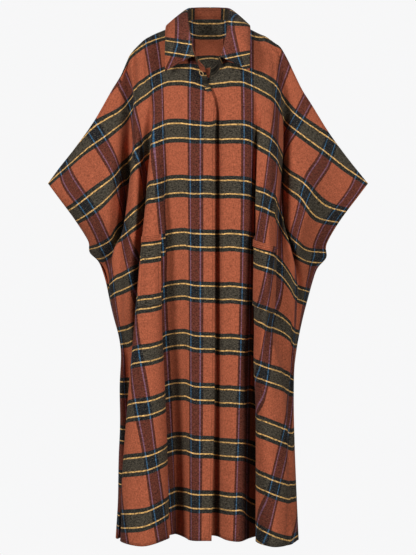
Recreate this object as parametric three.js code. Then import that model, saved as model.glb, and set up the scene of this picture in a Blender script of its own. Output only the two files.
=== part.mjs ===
import * as THREE from "three";

// Plaid maxi cape coat, worn shape with no wearer. Millimetres, front towards -Y, +Z up.
// The origin is the middle of the neck base, where the coat hangs from its form.

// The drape is drawn as a front view: x to the right, y down, one drawing unit is 2.5 mm,
// seen from VIEW_DISTANCE at eye height EYE. d is the depth in mm, negative to the front.
const UNIT = 2.5;
const MID_X = 208.5;
const NECK_Y = 40;
const EYE = 277.5;
const VIEW_DISTANCE = 3300;
const HEM_Z = -1228;

const WALL = 2; // brushed wool cloth with its turned seams
const SEAM_GAP = 0.3;
const CUFF_END = 95; // how far down the side edge the cuff opening reaches, in units
const CUFF_HALF_GAP = 20;
const BUTTON = { diameter: 20, thick: 3, dish: 0.8, inset: 2.4 };

const place = (x, y, d) => {
  const k = (VIEW_DISTANCE + d) / VIEW_DISTANCE;
  return [UNIT * (x - MID_X) * k, d, UNIT * (NECK_Y - EYE) + UNIT * (EYE - y) * k];
};

// Each fold is one row, from the front edge out to the side. Its six stations are the neck or
// shoulder edge, the levels 0, 55, 166 and 332 down the cloth, and the hem.
// t: distance down the cloth, s: distance across the cloth from the middle, both in units.
const levels = (top, hem, first = 0) => [top, first, 55, 166, 332, hem];
const fold = (name, t, s, x, y, d) => ({
  name,
  t,
  s: Array.isArray(s) ? s : Array(6).fill(s),
  p: x.map((xi, k) => place(xi, y[k], d[k])),
});

const RIGHT_FOLDS = [
  fold("edge", levels(-2, 475, 20), -6, [202, 214.5, 215, 215, 214.5, 211.5], [88, 104, 139, 247.5, 400.5, 541], [-106, -104, -110, -108, -112, -128]),
  fold("roll", levels(-6, 475), 1, [207, 209, 208, 208, 207.5, 205], [79, 84.5, 139, 247.5, 400.5, 541], [-96, -99, -113, -110, -114, -130]),
  fold("chest", levels(-22, 475), 13.5, [196, 195, 195, 195, 195, 195], [61, 83.5, 138.7, 247, 400, 541], [-66, -92, -114, -110, -114, -128]),
  fold("throat", levels(-37, 475), 23, [187, 186.5, 186.5, 187.5, 188.5, 189], [46, 82, 138, 246, 397.5, 540], [-42, -88, -112, -108, -108, -115]),
  fold("neck", levels(-63, 474), 30, [178.5, 180.5, 181, 182.5, 184.5, 186], [25, 81.3, 137.5, 245.5, 396.3, 538], [0, -84, -108, -104, -98, -100]),
  fold("valley", levels(-64, 471), [42, 44, 46, 48, 53.5, 55], [166.5, 168, 169, 171, 172, 175], [29.5, 82, 138, 247, 397.5, 534], [0, -82, -106, -98, -78, -66]),
  fold("a_in", levels(-62.5, 467), [54, 56, 57, 62, 75, 98], [155.5, 160.5, 161, 163.5, 168, 167.5], [34, 85, 140.2, 251.5, 406.5, 539], [0, -80, -112, -124, -138, -160]),
  fold("a_mid", levels(-61.5, 462), [60, 62, 63, 76, 99, 128], [149.5, 155.5, 156.5, 153, 151, 143], [37, 87.5, 142, 254, 414.5, 546.5], [0, -78, -118, -142, -168, -190]),
  fold("a_out", levels(-60.5, 456), [66, 67, 68, 90, 125, 160], [144.5, 151, 150.5, 140.5, 127, 118], [40, 90.5, 144.5, 257, 419, 541], [0, -73, -112, -125, -140, -142]),
  fold("a_back", levels(-59, 457), [74, 80, 86, 120, 155, 184], [138.5, 144.5, 145, 144, 133, 127], [45.5, 95.5, 153, 270, 428, 536], [0, -64, -76, -68, -62, -58]),
  fold("c_in", levels(-56.5, 458), [84, 90, 106, 150, 172, 198], [131, 138.5, 142, 138.5, 129, 121.5], [53.5, 100, 160, 281, 438, 537], [0, -58, -72, -76, -72, -74]),
  fold("c_top", levels(-55, 459), [93, 96, 113, 157, 180, 204], [126, 135.5, 137, 131.5, 126, 118], [62, 102.3, 164, 285.5, 441, 538.7], [0, -57, -95, -100, -95, -95]),
  fold("c_out", levels(-54, 460), [100, 101, 119, 166, 187, 208], [123, 133, 131.5, 126, 123.5, 116.5], [69, 105.3, 170, 288.5, 441.5, 538.5], [0, -50, -84, -96, -92, -90]),
  fold("trough", levels(-52, 460), [107, 112, 133, 176, 193, 211], [119.5, 127.5, 124, 121.5, 121.8, 116], [77, 112.5, 178.5, 290.5, 441.5, 537.3], [0, -30, -52, -80, -78, -76]),
  fold("arm", levels(-38, 461), [122, 124, 148, 186, 199, 213], [110, 120.5, 119.5, 117, 121, 116.5], [93, 123.5, 182.5, 292, 441, 536], [0, -30, -60, -74, -60, -60]),
  fold("sleeve", levels(-19, 461), [145.5, 147, 163, 195, 204, 214.5], [95, 103.5, 113, 113.5, 121.3, 117], [120, 137.5, 191.5, 294, 440, 535], [0, -24, -84, -62, -44, -46]),
  fold("wide", levels(-13, 461, 6), [175, 176, 183, 203, 209, 216], [76, 81.5, 101, 110.3, 122, 118], [147, 159.5, 204, 296.5, 439, 534], [0, -24, -80, -42, -28, -34]),
  fold("wrist", levels(-5, 461, 12), [203.5, 204, 204, 210.5, 213.5, 217], [59, 63, 85.5, 109, 123, 119], [168.5, 182.5, 215.5, 298.5, 438, 533], [0, -14, -44, -20, -14, -20]),
  fold("side", levels(0, 461, 15), 218, [48, 55, 76.5, 111, 124.5, 120.5], [183.5, 192.5, 221, 296, 437, 532], [0, 0, -4, 4, 0, -5]),
];
const LEFT_FOLDS = [
  fold("under", levels(0, 470, 14), -8, [200.5, 200.5, 200.5, 200.5, 200, 199], [86, 99, 140, 248, 401.5, 535], [-80, -88, -98, -96, -100, -94]),
  fold("fly", levels(-4, 471, 8), 7, [215.5, 215.5, 215.5, 215.5, 215, 213], [80, 91.5, 139, 247.5, 402, 535.5], [-81, -88, -101, -97, -96, -82]),
  fold("chest", levels(-19, 472), 14, [222.5, 223, 223, 223, 222.5, 219.5], [63.5, 83, 139, 247.5, 403, 537], [-64, -88, -108, -104, -104, -98]),
  fold("throat", levels(-31, 473), 22, [229.5, 230, 230.5, 230.5, 229, 226], [49, 82, 138.5, 247, 403, 540], [-42, -90, -112, -108, -112, -118]),
  fold("neck", levels(-63, 474), 31, [239, 241.5, 242, 241, 237.5, 233.5], [25, 82.3, 138.8, 248, 403.7, 541.5], [0, -86, -112, -110, -118, -130]),
  fold("crest", levels(-62.5, 474), 40, [247, 248.5, 249, 247.5, 244, 241], [28, 84.5, 140, 249, 404, 541.5], [0, -84, -108, -105, -106, -128]),
  fold("valley", levels(-60, 460), [50, 50, 50, 50, 52, 53], [257, 256, 255, 253.5, 252.5, 253], [33, 88, 143.5, 251, 404, 537], [0, -78, -100, -88, -66, -60]),
  fold("b_back", levels(-58, 450), [55, 55, 57, 65, 95, 110], [261.5, 259, 259, 257.5, 270, 283], [35, 89.5, 146, 256, 415, 530], [0, -74, -96, -86, -10, 12]),
  fold("b_in", levels(-56, 446), [60, 60, 64, 80, 138, 167], [266, 262, 262.5, 254, 256, 256], [37, 91, 148, 262, 430, 540], [0, -72, -104, -122, -120, -120]),
  fold("b_mid", levels(-54, 440), [68, 70, 78.5, 98, 152, 190], [274.5, 270.5, 269, 265.5, 267, 272], [43, 96, 151.5, 267, 436.5, 547], [0, -66, -112, -160, -176, -195]),
  fold("b_out", levels(-52, 433), [75, 80, 90.5, 112, 178, 214], [281, 275.5, 277, 272, 286, 289], [48, 101, 160, 269.5, 444, 545.5], [0, -56, -96, -146, -152, -170]),
  fold("e_in", levels(-50, 433), [86, 96, 108, 119, 184, 219], [288, 281.5, 279.5, 273.5, 289.5, 294], [60, 110.5, 166, 270, 445.5, 543], [0, -42, -58, -118, -132, -146]),
  fold("e_deep", levels(-47, 433), [98, 108, 124.5, 127, 188, 222], [293.5, 286, 282, 276.5, 291.5, 296.8], [72, 117.5, 172, 272, 447, 541], [0, -28, -26, -94, -114, -126]),
  fold("e_out", levels(-43, 433), [113, 117, 145, 137, 193, 225], [300, 288.5, 285.5, 283, 293.3, 298.3], [86, 122, 183, 277.5, 447, 540], [0, -26, -52, -90, -94, -108]),
  fold("arm", levels(-40, 433), [124.5, 128, 157, 150, 199, 227], [304.5, 292, 289, 290, 294.3, 298], [94, 126.5, 190, 287, 445, 538.5], [0, -30, -74, -86, -74, -92]),
  fold("sleeve", levels(-35, 433), [136.5, 141, 170.5, 165, 207, 228.5], [311, 300, 294, 294, 293.8, 297], [104, 133.5, 197, 295, 443, 537.5], [0, -28, -90, -80, -58, -82]),
  fold("wide", levels(-18.5, 433, 4), [170.5, 172, 187, 186, 215, 230], [329, 322, 304.5, 297.5, 292.5, 296], [133, 154.5, 207.5, 298, 441.5, 537], [0, -26, -88, -66, -46, -74]),
  fold("wrist", levels(-9, 433, 10), [203, 203.5, 207, 208, 223, 231], [348.5, 343.5, 318.5, 302, 291, 295], [159.5, 178, 218, 300.5, 440, 536.5], [0, -14, -50, -40, -36, -66]),
  fold("side", levels(0, 433, 15), 232, [368, 360.5, 338, 306.5, 290, 294], [183.5, 193, 222.5, 302.5, 439, 536], [0, 0, -4, -12, -28, -60]),
];
const NECK_ROW = 4; // the fold that starts at the end of the shoulder seam, in both tables
// The back neck edge, between the two shoulder seams.
const NAPE = [
  { s: 22, t: -70, x: 20.5, y: 21.5, d: 38 },
  { s: 13, t: -75, x: 12.5, y: 19.8, d: 56 },
  { s: 0, t: -76, x: 0, y: 19.5, d: 62 },
];
// Depth of the middle of the back and of the front at the six stations.
const BACK_DEPTH = [62, 150, 175, 185, 190, 198];
const FRONT_DEPTH = [-75, -95, -115, -112, -115, -128];
const BACK_FOLD = 0.8; // depth of a back fold against the front one beside it

const lerp = (a, b, f) => a + (b - a) * f;
const add = (a, b, k = 1) => a.map((v, i) => v + b[i] * k);
const sub = (a, b) => a.map((v, i) => v - b[i]);
const dot = (a, b) => a[0] * b[0] + a[1] * b[1] + a[2] * b[2];
const cross = (a, b) => [a[1] * b[2] - a[2] * b[1], a[2] * b[0] - a[0] * b[2], a[0] * b[1] - a[1] * b[0]];
const unit = (a) => a.map((v) => v / (Math.hypot(...a) || 1));
const mix = (a, b, f) => a.map((v, i) => lerp(v, b[i], f));

// A back fold lies behind a front fold: same place across, depth mirrored about the hollow.
function backFold(front, sideRow, sign) {
  const width = sideRow.s[0];
  const p = [];
  const t = [...front.t];
  front.p.forEach((f, k) => {
    const share = Math.min(1, front.s[k] / width) ** 2.2;
    const seam = sideRow.p[k][1] * share;
    const before = FRONT_DEPTH[k] * (1 - share) + seam;
    const behind = BACK_DEPTH[k] * (1 - share) + seam;
    if (k === 0) return p.push(f);
    const last = p[k - 1];
    const q = [f[0], behind - BACK_FOLD * (f[1] - before), 0];
    const run = Math.hypot(t[k] - t[k - 1], front.s[k] - front.s[k - 1]) * UNIT;
    const over = Math.hypot(q[0] - last[0], q[1] - last[1]);
    const fall = Math.sqrt(Math.max(run * run - over * over, 0.2 * run * run));
    const hold = share ** 3;
    q[2] = lerp(last[2] - fall, f[2], hold);
    if (k === 5) {
      q[2] = lerp(HEM_Z, f[2], hold);
      t[5] = lerp(t[4] + Math.hypot(over, q[2] - last[2]) / UNIT, t[5], hold);
    }
    p.push(q);
  });
  return { name: front.name, t, s: front.s.map((v) => v * sign), p };
}
function napeFold(n, sign) {
  const [a, b] = [RIGHT_FOLDS[NECK_ROW], LEFT_FOLDS[NECK_ROW]];
  const f = (n.s * sign + a.s[0]) / (a.s[0] + b.s[0]);
  const t = [n.t, 0, 55, 166, 332, 475];
  const p = [place(MID_X + n.x * sign, n.y, n.d)];
  for (let k = 1; k < 6; k++) {
    const last = p[k - 1];
    const x = lerp(a.p[k][0], b.p[k][0], f);
    const over = Math.hypot(x - last[0], BACK_DEPTH[k] - last[1]);
    const run = (t[k] - t[k - 1]) * UNIT;
    const fall = Math.sqrt(Math.max(run * run - over * over, 0.2 * run * run));
    p.push([x, BACK_DEPTH[k], k === 5 ? HEM_Z : last[2] - fall]);
    if (k === 5) t[5] = t[4] + Math.hypot(over, p[5][2] - last[2]) / UNIT;
  }
  return { name: "nape", t, s: Array(6).fill(n.s * sign), p };
}
const outer = (folds, sign) => folds.slice(NECK_ROW).map((f) => backFold(f, folds[folds.length - 1], sign));
const BACK_FOLDS = [
  ...outer(RIGHT_FOLDS, -1).reverse(),
  ...NAPE.map((n) => napeFold(n, -1)),
  ...NAPE.slice(0, -1).reverse().map((n) => napeFold(n, 1)),
  ...outer(LEFT_FOLDS, 1),
];

// A smooth curve through values at uneven stations, without overshoot.
function through(at, values, t) {
  const n = at.length;
  let i = 0;
  while (i < n - 2 && t > at[i + 1]) i++;
  const rise = (k) => (values[k + 1] - values[k]) / (at[k + 1] - at[k]);
  const slope = (k) => {
    if (k === 0) return rise(0);
    if (k === n - 1) return rise(n - 2);
    const [a, b] = [rise(k - 1), rise(k)];
    if (a * b <= 0) return 0;
    const [p, q] = [at[k] - at[k - 1], at[k + 1] - at[k]];
    return (a * q + b * p) / (p + q);
  };
  const h = at[i + 1] - at[i];
  const f = (t - at[i]) / h;
  return (
    (2 * f ** 3 - 3 * f * f + 1) * values[i] +
    (f ** 3 - 2 * f * f + f) * h * slope(i) +
    (3 * f * f - 2 * f ** 3) * values[i + 1] +
    (f ** 3 - f * f) * h * slope(i + 1)
  );
}
// A curve through evenly numbered values.
function across(v, c) {
  const n = v.length;
  const i = Math.min(Math.floor(c), n - 2);
  const f = c - i;
  const a = i > 0 ? v[i - 1] : 2 * v[i] - v[i + 1];
  const [b, e] = [v[i], v[i + 1]];
  const g = i + 2 < n ? v[i + 2] : 2 * v[i + 1] - v[i];
  return 0.5 * (2 * b + (e - a) * f + (2 * a - 5 * b + 4 * e - g) * f * f + (3 * b - a - 3 * e + g) * f ** 3);
}

// The cloth of a panel at fold number c and level v, both may lie between two rows.
// face is -1 for a front and 1 for the back: which way the cuff opening moves it.
function clothAt(folds, face, c, v) {
  const k = Math.min(Math.floor(v), 4);
  const lo = Math.max(0, Math.floor(c) - 1);
  const hi = Math.min(folds.length - 1, Math.floor(c) + 2);
  const near = folds.slice(lo, hi + 1).map((f) => {
    const t = lerp(f.t[k], f.t[k + 1], v - k);
    return [t, through(f.t, f.s, t), ...[0, 1, 2].map((m) => through(f.t, f.p.map((q) => q[m]), t))];
  });
  const [t, s, x, y, z] = [0, 1, 2, 3, 4].map((m) => across(near.map((q) => q[m]), c - lo));
  const width = x < 0 ? 218 : 232;
  const close = Math.max(0, 1 - (width - Math.abs(s)) / 70) ** 2;
  const open = t > 0 && t < CUFF_END ? Math.sin((Math.PI * t) / CUFF_END) : 0;
  return { t, s, p: [x, y + face * CUFF_HALF_GAP * open * close, z] };
}
const LEVELS = [0, 0.5, 1, 1.35, 1.7, 2, 2.36, 2.6, 2.8, 3, 3.25, 3.5, 3.75, 4, 4.25, 4.5, 4.75, 5];
const steps = (from, to, count) => Array.from({ length: count + 1 }, (_, i) => lerp(from, to, i / count));

function gridOf(folds, face, cols, rows) {
  return cols.map((c) => rows.map((v) => clothAt(folds, face, c, v).p));
}
// Normals of a grid of points; turn is 1 or -1 so that they face out of the garment.
function normalsOf(grid, turn) {
  const [nc, nr] = [grid.length, grid[0].length];
  return grid.map((col, j) =>
    col.map((_, i) => {
      const along = sub(grid[Math.min(j + 1, nc - 1)][i], grid[Math.max(j - 1, 0)][i]);
      const down = sub(grid[j][Math.min(i + 1, nr - 1)], grid[j][Math.max(i - 1, 0)]);
      return unit(cross(along, down)).map((v) => v * turn);
    }),
  );
}
// A closed wall round a grid: reach is how far each point of it moves to either side.
function wallOf(grid, normals, half) {
  const [nc, nr] = [grid.length, grid[0].length];
  const reach = (j, i) => (typeof half === "number" ? half : half[j][i]);
  const points = [];
  for (const side of [1, -1])
    for (let j = 0; j < nc; j++)
      for (let i = 0; i < nr; i++) points.push(...add(grid[j][i], normals[j][i], side * reach(j, i)));
  const at = (side, j, i) => side * nc * nr + j * nr + i;
  const faces = [];
  const quad = (a, b, c, d) => faces.push(a, b, c, a, c, d);
  for (let j = 0; j + 1 < nc; j++)
    for (let i = 0; i + 1 < nr; i++) {
      quad(at(0, j, i), at(0, j + 1, i), at(0, j + 1, i + 1), at(0, j, i + 1));
      quad(at(1, j, i), at(1, j, i + 1), at(1, j + 1, i + 1), at(1, j + 1, i));
    }
  const rim = (j0, i0, j1, i1) => quad(at(0, j0, i0), at(1, j0, i0), at(1, j1, i1), at(0, j1, i1));
  for (let j = 0; j + 1 < nc; j++) {
    rim(j, 0, j + 1, 0);
    rim(j + 1, nr - 1, j, nr - 1);
  }
  for (let i = 0; i + 1 < nr; i++) {
    rim(0, i + 1, 0, i);
    rim(nc - 1, i, nc - 1, i + 1);
  }
  return solid(points, faces);
}
// Faces out whichever way the grid was wound.
function solid(points, faces) {
  let volume = 0;
  const at = (i) => points.slice(3 * i, 3 * i + 3);
  for (let i = 0; i < faces.length; i += 3) volume += dot(at(faces[i]), cross(at(faces[i + 1]), at(faces[i + 2])));
  if (volume < 0) for (let i = 0; i < faces.length; i += 3) [faces[i + 1], faces[i + 2]] = [faces[i + 2], faces[i + 1]];
  const geometry = new THREE.BufferGeometry();
  geometry.setAttribute("position", new THREE.Float32BufferAttribute(points, 3));
  geometry.setIndex(faces);
  geometry.computeVertexNormals();
  return geometry;
}

const group = new THREE.Group();
group.name = "cape_coat";
function piece(name, geometry, color, roughness = 0.95) {
  const mesh = new THREE.Mesh(geometry, new THREE.MeshStandardMaterial({ color, roughness, metalness: 0 }));
  mesh.name = name;
  group.add(mesh);
}
const PLAID = 0xb06246;
const PLAID_TRIM = 0x9c563f;

// Body panels. Where two panels are sewn, both take the same normal, so their edges meet as a mitre.
const columns = (folds) => steps(0, folds.length - 1, 2 * (folds.length - 1));
const panels = {
  front_right: { grid: gridOf(RIGHT_FOLDS, -1, columns(RIGHT_FOLDS), LEVELS), turn: 1 },
  front_left: { grid: gridOf(LEFT_FOLDS, -1, columns(LEFT_FOLDS), LEVELS), turn: -1 },
  back: { grid: gridOf(BACK_FOLDS, 1, columns(BACK_FOLDS), LEVELS), turn: 1 },
};
for (const panel of Object.values(panels)) {
  panel.normals = normalsOf(panel.grid, panel.turn);
  panel.half = panel.grid.map((col) => col.map(() => WALL / 2));
}
const SEAM_LEVEL = LEVELS.indexOf(2.36);
function sew(front, back, j, i, k) {
  const shared = unit(add(front.normals[j][i], back.normals[k][i]));
  const base = front.grid[j][i];
  for (const [panel, col, side] of [[front, j, -1], [back, k, 1]]) {
    panel.half[col][i] = WALL / 2 / Math.max(0.6, dot(panel.normals[col][i], shared));
    panel.normals[col][i] = shared;
    panel.grid[col][i] = add(base, [0, (side * SEAM_GAP) / 2 + side * 0.03, 0]);
  }
}
const lastCol = panels.back.grid.length - 1;
for (const [front, backCol] of [
  [panels.front_right, (j) => front_end(panels.front_right) - j],
  [panels.front_left, (j) => lastCol - (front_end(panels.front_left) - j)],
]) {
  const end = front_end(front);
  for (let j = 2 * NECK_ROW; j <= end; j++) sew(front, panels.back, j, 0, backCol(j));
  for (let i = SEAM_LEVEL; i < LEVELS.length; i++) sew(front, panels.back, end, i, backCol(end));
}
function front_end(panel) {
  return panel.grid.length - 1;
}
// A piece that lies on a front: a patch of the panel's own points, moved out by lift.
function between(lines, from, to) {
  return [from, ...lines.filter((v) => v > from + 0.005 && v < to - 0.005), to];
}
function onPanel(panel, table, c, v) {
  const j = Math.min(Math.floor(c * 2), table.length - 2);
  let i = 0;
  while (i < LEVELS.length - 2 && v > LEVELS[i + 1]) i++;
  const [f, g] = [c * 2 - j, (v - LEVELS[i]) / (LEVELS[i + 1] - LEVELS[i])];
  return mix(mix(table[j][i], table[j + 1][i], f), mix(table[j][i + 1], table[j + 1][i + 1], f), g);
}
function patchPiece(name, panel, cRange, vRange, lift, wall) {
  const cols = between(steps(0, 18, 36), ...cRange);
  const rows = between(LEVELS, ...vRange);
  const normals = cols.map((c) => rows.map((v) => unit(onPanel(panel, panel.normals, c, v))));
  const grid = cols.map((c, j) =>
    rows.map((v, i) => {
      const q = (c - cRange[0]) / (cRange[1] - cRange[0]);
      const r = (v - vRange[0]) / (vRange[1] - vRange[0]);
      return add(onPanel(panel, panel.grid, c, v), normals[j][i], lift(q, r));
    }),
  );
  piece(name, wallOf(grid, normals, wall / 2), PLAID_TRIM);
}

// Fly placket, behind the right front's edge. Ranges are in folds across and stations down.
const PLACKET = { c: [0.2, 2], v: [1.25, 4.7], wall: 1.2 };
const behindFly = -(WALL / 2 + SEAM_GAP + PLACKET.wall / 2 + 0.5);
patchPiece("fly_placket", panels.front_right, PLACKET.c, PLACKET.v, () => behindFly, PLACKET.wall);

// Patch pockets, each with a stitched band across its mouth.
const POCKETS = {
  right: { panel: panels.front_right, c: [6.4, 8.6], v: [2.83, 3.32] },
  left: { panel: panels.front_left, c: [7.3, 11.6], v: [2.8, 3.25] },
};
const POCKET_WALL = 1.4;
const BAND = { tall: 0.055, wall: 1.2 };
for (const [side, k] of Object.entries(POCKETS)) {
  const seat = WALL / 2 + SEAM_GAP + POCKET_WALL / 2 + 0.4;
  const gape = (q, r) => 2.5 * Math.max(0, 1 - r * 2.5) * Math.sin(Math.PI * q);
  patchPiece("pocket_" + side, k.panel, k.c, k.v, (q, r) => seat + gape(q, r), POCKET_WALL);
  const bandSeat = seat + POCKET_WALL / 2 + SEAM_GAP + BAND.wall / 2 + 0.4;
  const mouth = [k.v[0], k.v[0] + BAND.tall];
  patchPiece("pocket_band_" + side, k.panel, [k.c[0] + 0.02, k.c[1] - 0.02], mouth, (q) => bandSeat + gape(q, 0), BAND.wall);
}
function colFor(folds, s, v) {
  let [lo, hi] = [0, folds.length - 1];
  for (let k = 0; k < 40; k++) {
    const mid = (lo + hi) / 2;
    if (clothAt(folds, -1, mid, v).s < s) lo = mid;
    else hi = mid;
  }
  return lo;
}

// Buttons on the left front, hidden by the fly: flat discs with a dished middle.
const BUTTON_T = [24, 84, 144, 204, 264, 324];
BUTTON_T.forEach((t, n) => {
  const f = LEFT_FOLDS[0];
  const k = t < 55 ? 1 : t < 166 ? 2 : 3;
  const v = k + (t - f.t[k]) / (f.t[k + 1] - f.t[k]);
  const c = colFor(LEFT_FOLDS, -0.5, v);
  const p = clothAt(LEFT_FOLDS, -1, c, v).p;
  const along = sub(clothAt(LEFT_FOLDS, -1, c + 0.2, v).p, clothAt(LEFT_FOLDS, -1, c - 0.2, v).p);
  const down = sub(clothAt(LEFT_FOLDS, -1, c, v + 0.05).p, clothAt(LEFT_FOLDS, -1, c, v - 0.05).p);
  const out = unit(cross(along, down)).map((w) => -w);
  const r = BUTTON.diameter / 2;
  const profile = [
    [0, 0],
    [r - 0.8, 0],
    [r, 0.9],
    [r, BUTTON.thick - 0.6],
    [r - 0.6, BUTTON.thick],
    [r - BUTTON.inset, BUTTON.thick],
    [r - BUTTON.inset - 0.8, BUTTON.thick - BUTTON.dish],
    [0, BUTTON.thick - BUTTON.dish],
  ].map(([x, y]) => new THREE.Vector2(x, y));
  const geometry = new THREE.LatheGeometry(profile, 14);
  const seat = add(p, out, WALL / 2 + SEAM_GAP + 0.6);
  const turn = new THREE.Quaternion().setFromUnitVectors(new THREE.Vector3(0, 1, 0), new THREE.Vector3(...out));
  geometry.applyMatrix4(new THREE.Matrix4().compose(new THREE.Vector3(...seat), turn, new THREE.Vector3(1, 1, 1)));
  piece("button_" + (n + 1), geometry, 0x3a2a22, 0.4);
});

// Collar: the stand's top (the roll line) and the free edge of the fall, one row for each fold of
// the neck edge, from the wearer's right front edge round the back to the left front.
const section = (name, top, edge) => ({ name, top: place(...top), edge: edge && place(...edge) });
const COLLAR = [
  section("tab", [197.5, 68, -108]),
  section("end_right", [204, 66, -106]),
  section("front_right", [195.5, 56, -92], [165, 71, -96]),
  section("throat_right", [191, 38, -62], [165, 50, -80]),
  section("side_right", [187.8, 17, -8], [166, 26.6, -2]),
  section("nape_right", [189, 10, 32], [171, 29, 34]),
  section("back_right", [196, 8.4, 56], [188, 31.5, 82]),
  section("back", [208.5, 8, 64], [208.5, 32.5, 92]),
  section("back_left", [221.5, 8.4, 56], [229, 31.5, 82]),
  section("nape_left", [228.5, 10, 32], [246, 29, 34]),
  section("side_left", [228.7, 16.5, -8], [250, 26.4, -2]),
  section("throat_left", [225, 40, -62], [250, 50, -80]),
  section("front_left", [219.5, 57.5, -90], [249.5, 71, -96]),
  section("end_left", [213.5, 67.5, -100]),
];
const smooth = (rows, key, c) => [0, 1, 2].map((m) => across(rows.map((r) => r[key][m]), c));
const STAND_WALL = 1.8;
const FALL_WALL = 1.8;
const FALL_FROM = 2; // the first section that carries the fall
{
  // The neck edge of the panels, two columns to a section.
  const right = 2 * NECK_ROW;
  const backFrom = lastCol / 2 - NAPE.length * 2;
  const neck = [
    ...steps(0, right, right).map((j) => [panels.front_right, j]),
    ...steps(1, 4 * NAPE.length, 4 * NAPE.length - 1).map((j) => [panels.back, backFrom + j]),
    ...steps(right - 1, 2, right - 3).map((j) => [panels.front_left, j]),
  ];
  const corner = (k) => Math.min(Math.abs(k / 2 - 4), Math.abs(k / 2 - 10)) < 0.8;
  const rows = steps(0, 1, 4);
  const grid = neck.map(([panel, j], k) => {
    const top = smooth(COLLAR, "top", k / 2);
    const seam = panel.grid[j][0];
    const up = unit(sub(top, seam));
    const foot = add(seam, up, corner(k) ? WALL / 2 + SEAM_GAP + 0.3 : SEAM_GAP + 0.05);
    return rows.map((f) => mix(top, foot, f));
  });
  const normals = normalsOf(grid, 1);
  const half = grid.map((col) => col.map(() => STAND_WALL / 2));
  const foot = rows.length - 1;
  neck.forEach(([panel, j], k) => {
    if (corner(k)) return;
    const shared = unit(add(panel.normals[j][0], normals[k][foot]));
    half[k][foot] = STAND_WALL / 2 / Math.max(0.6, dot(normals[k][foot], shared));
    normals[k][foot] = shared;
    panel.half[j][0] = WALL / 2 / Math.max(0.6, dot(panel.normals[j][0], shared));
    panel.normals[j][0] = shared;
  });
  piece("collar_stand", wallOf(grid, normals, half), PLAID_TRIM);
  // The fall starts on the outer side of the stand's top and turns down over it.
  const sewn = COLLAR.slice(FALL_FROM, -1);
  const fall = steps(0, sewn.length - 1, 2 * (sewn.length - 1)).map((c, k) => {
    const j = k + 2 * FALL_FROM;
    const edge = smooth(sewn, "edge", c);
    const up = unit(sub(grid[j][0], grid[j][1]));
    const start = add(add(grid[j][0], normals[j][0], (STAND_WALL + FALL_WALL) / 2 + SEAM_GAP + 0.4), up, 0.6);
    const bulge = add(add(mix(start, edge, 0.25), normals[j][0], 5), up, 5);
    return steps(0, 1, 6).map((f) => mix(mix(start, bulge, f), mix(bulge, edge, f), f));
  });
  piece("collar_fall", wallOf(fall, normalsOf(fall, 1), FALL_WALL / 2), PLAID_TRIM);
}
for (const [name, panel] of Object.entries(panels)) piece(name, wallOf(panel.grid, panel.normals, panel.half), PLAID);

export default group;
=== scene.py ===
"""Dresses the plaid cape coat: every cut piece of cloth as a fine sheet on the shape of its solid."""
import math

import bmesh
import bpy
import numpy as np
from mathutils import Matrix, Vector


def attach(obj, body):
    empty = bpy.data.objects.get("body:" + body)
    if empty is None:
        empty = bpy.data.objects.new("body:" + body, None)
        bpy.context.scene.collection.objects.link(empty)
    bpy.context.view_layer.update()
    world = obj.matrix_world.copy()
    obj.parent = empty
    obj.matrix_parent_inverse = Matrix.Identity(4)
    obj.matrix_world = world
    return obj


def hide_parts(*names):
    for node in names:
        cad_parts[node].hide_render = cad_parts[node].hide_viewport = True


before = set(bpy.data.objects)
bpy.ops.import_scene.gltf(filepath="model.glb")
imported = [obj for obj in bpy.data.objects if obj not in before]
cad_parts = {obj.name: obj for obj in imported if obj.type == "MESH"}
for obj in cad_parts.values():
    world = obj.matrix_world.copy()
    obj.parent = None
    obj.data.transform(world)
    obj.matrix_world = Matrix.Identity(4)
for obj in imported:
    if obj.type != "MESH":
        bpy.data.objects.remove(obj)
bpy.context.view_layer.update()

bl_info = {
    "name": "Plaid cape coat",
    "version": (1, 0, 0),
    "blender": (4, 5, 0),
    "location": "3D View > Sidebar > Cape",
    "description": "Cuts, drapes and colours a long plaid cape coat, piece by piece",
    "category": "Object",
}

# The drape is drawn as a front view: x to the right, y down, one drawing unit is UNIT metres,
# seen from VIEW_DISTANCE at eye height EYE. Depths are in millimetres, negative to the front.
UNIT = 0.0025
MM = 0.001
DRAWING = (416, 555)
MID_X = 208.5
NECK_Y = 40
EYE = DRAWING[1] / 2
VIEW_DISTANCE = 3300

# The cut, in drawing units: from the middle to each side seam, and how far each front laps past the middle.
RIGHT_SIDE = 218
LEFT_SIDE = 232
RIGHT_LAP = 6
LEFT_LAP = 8
# The cuff is the open edge down to CUFF_END, which is the station SIDE_SEAM_FROM. Front and back each stand
# off by the half gap there, in millimetres, and less and less up to CUFF_REACH from the edge.
CUFF_END = 95
SIDE_SEAM_FROM = 2.36
CUFF_REACH = 70
CUFF_HALF_GAP = 20
# About how far apart the stations lie down the cloth, and where the back's hem is drawn first.
STATION_SPANS = [62, 50, 111, 166, 140]
NAPE_HEM = 475
# The back: the height of its hem, its share of the fronts' relief, the middle depth of back and front at each
# station, how its depth nears that of the side seam, the least part of its squared length that cloth falls
# by, and the gap at its seams.
HEM_Z = -1.228
BACK_FOLD = 0.8
BACK_DEPTH = [62, 150, 175, 185, 190, 198]
FRONT_DEPTH = [-75, -95, -115, -112, -115, -128]
SEAM_PULL = 2.2
LEAST_DROP = 0.2
SEAM_GAP = 0.3 * MM
# The bow of the bands over the upper back, in drawing units: where it starts to rise and over how far, where
# it is gone and over how far it fades, its height before and after the rise, a small slope, its half width.
BOW = {"from": -56, "over": 22, "gone": 60, "fade": 80, "seam": 2.4, "lift": 17.5, "slope_from": -70,
       "slope": 0.1, "slope_most": 1.4, "half": 31}


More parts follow.
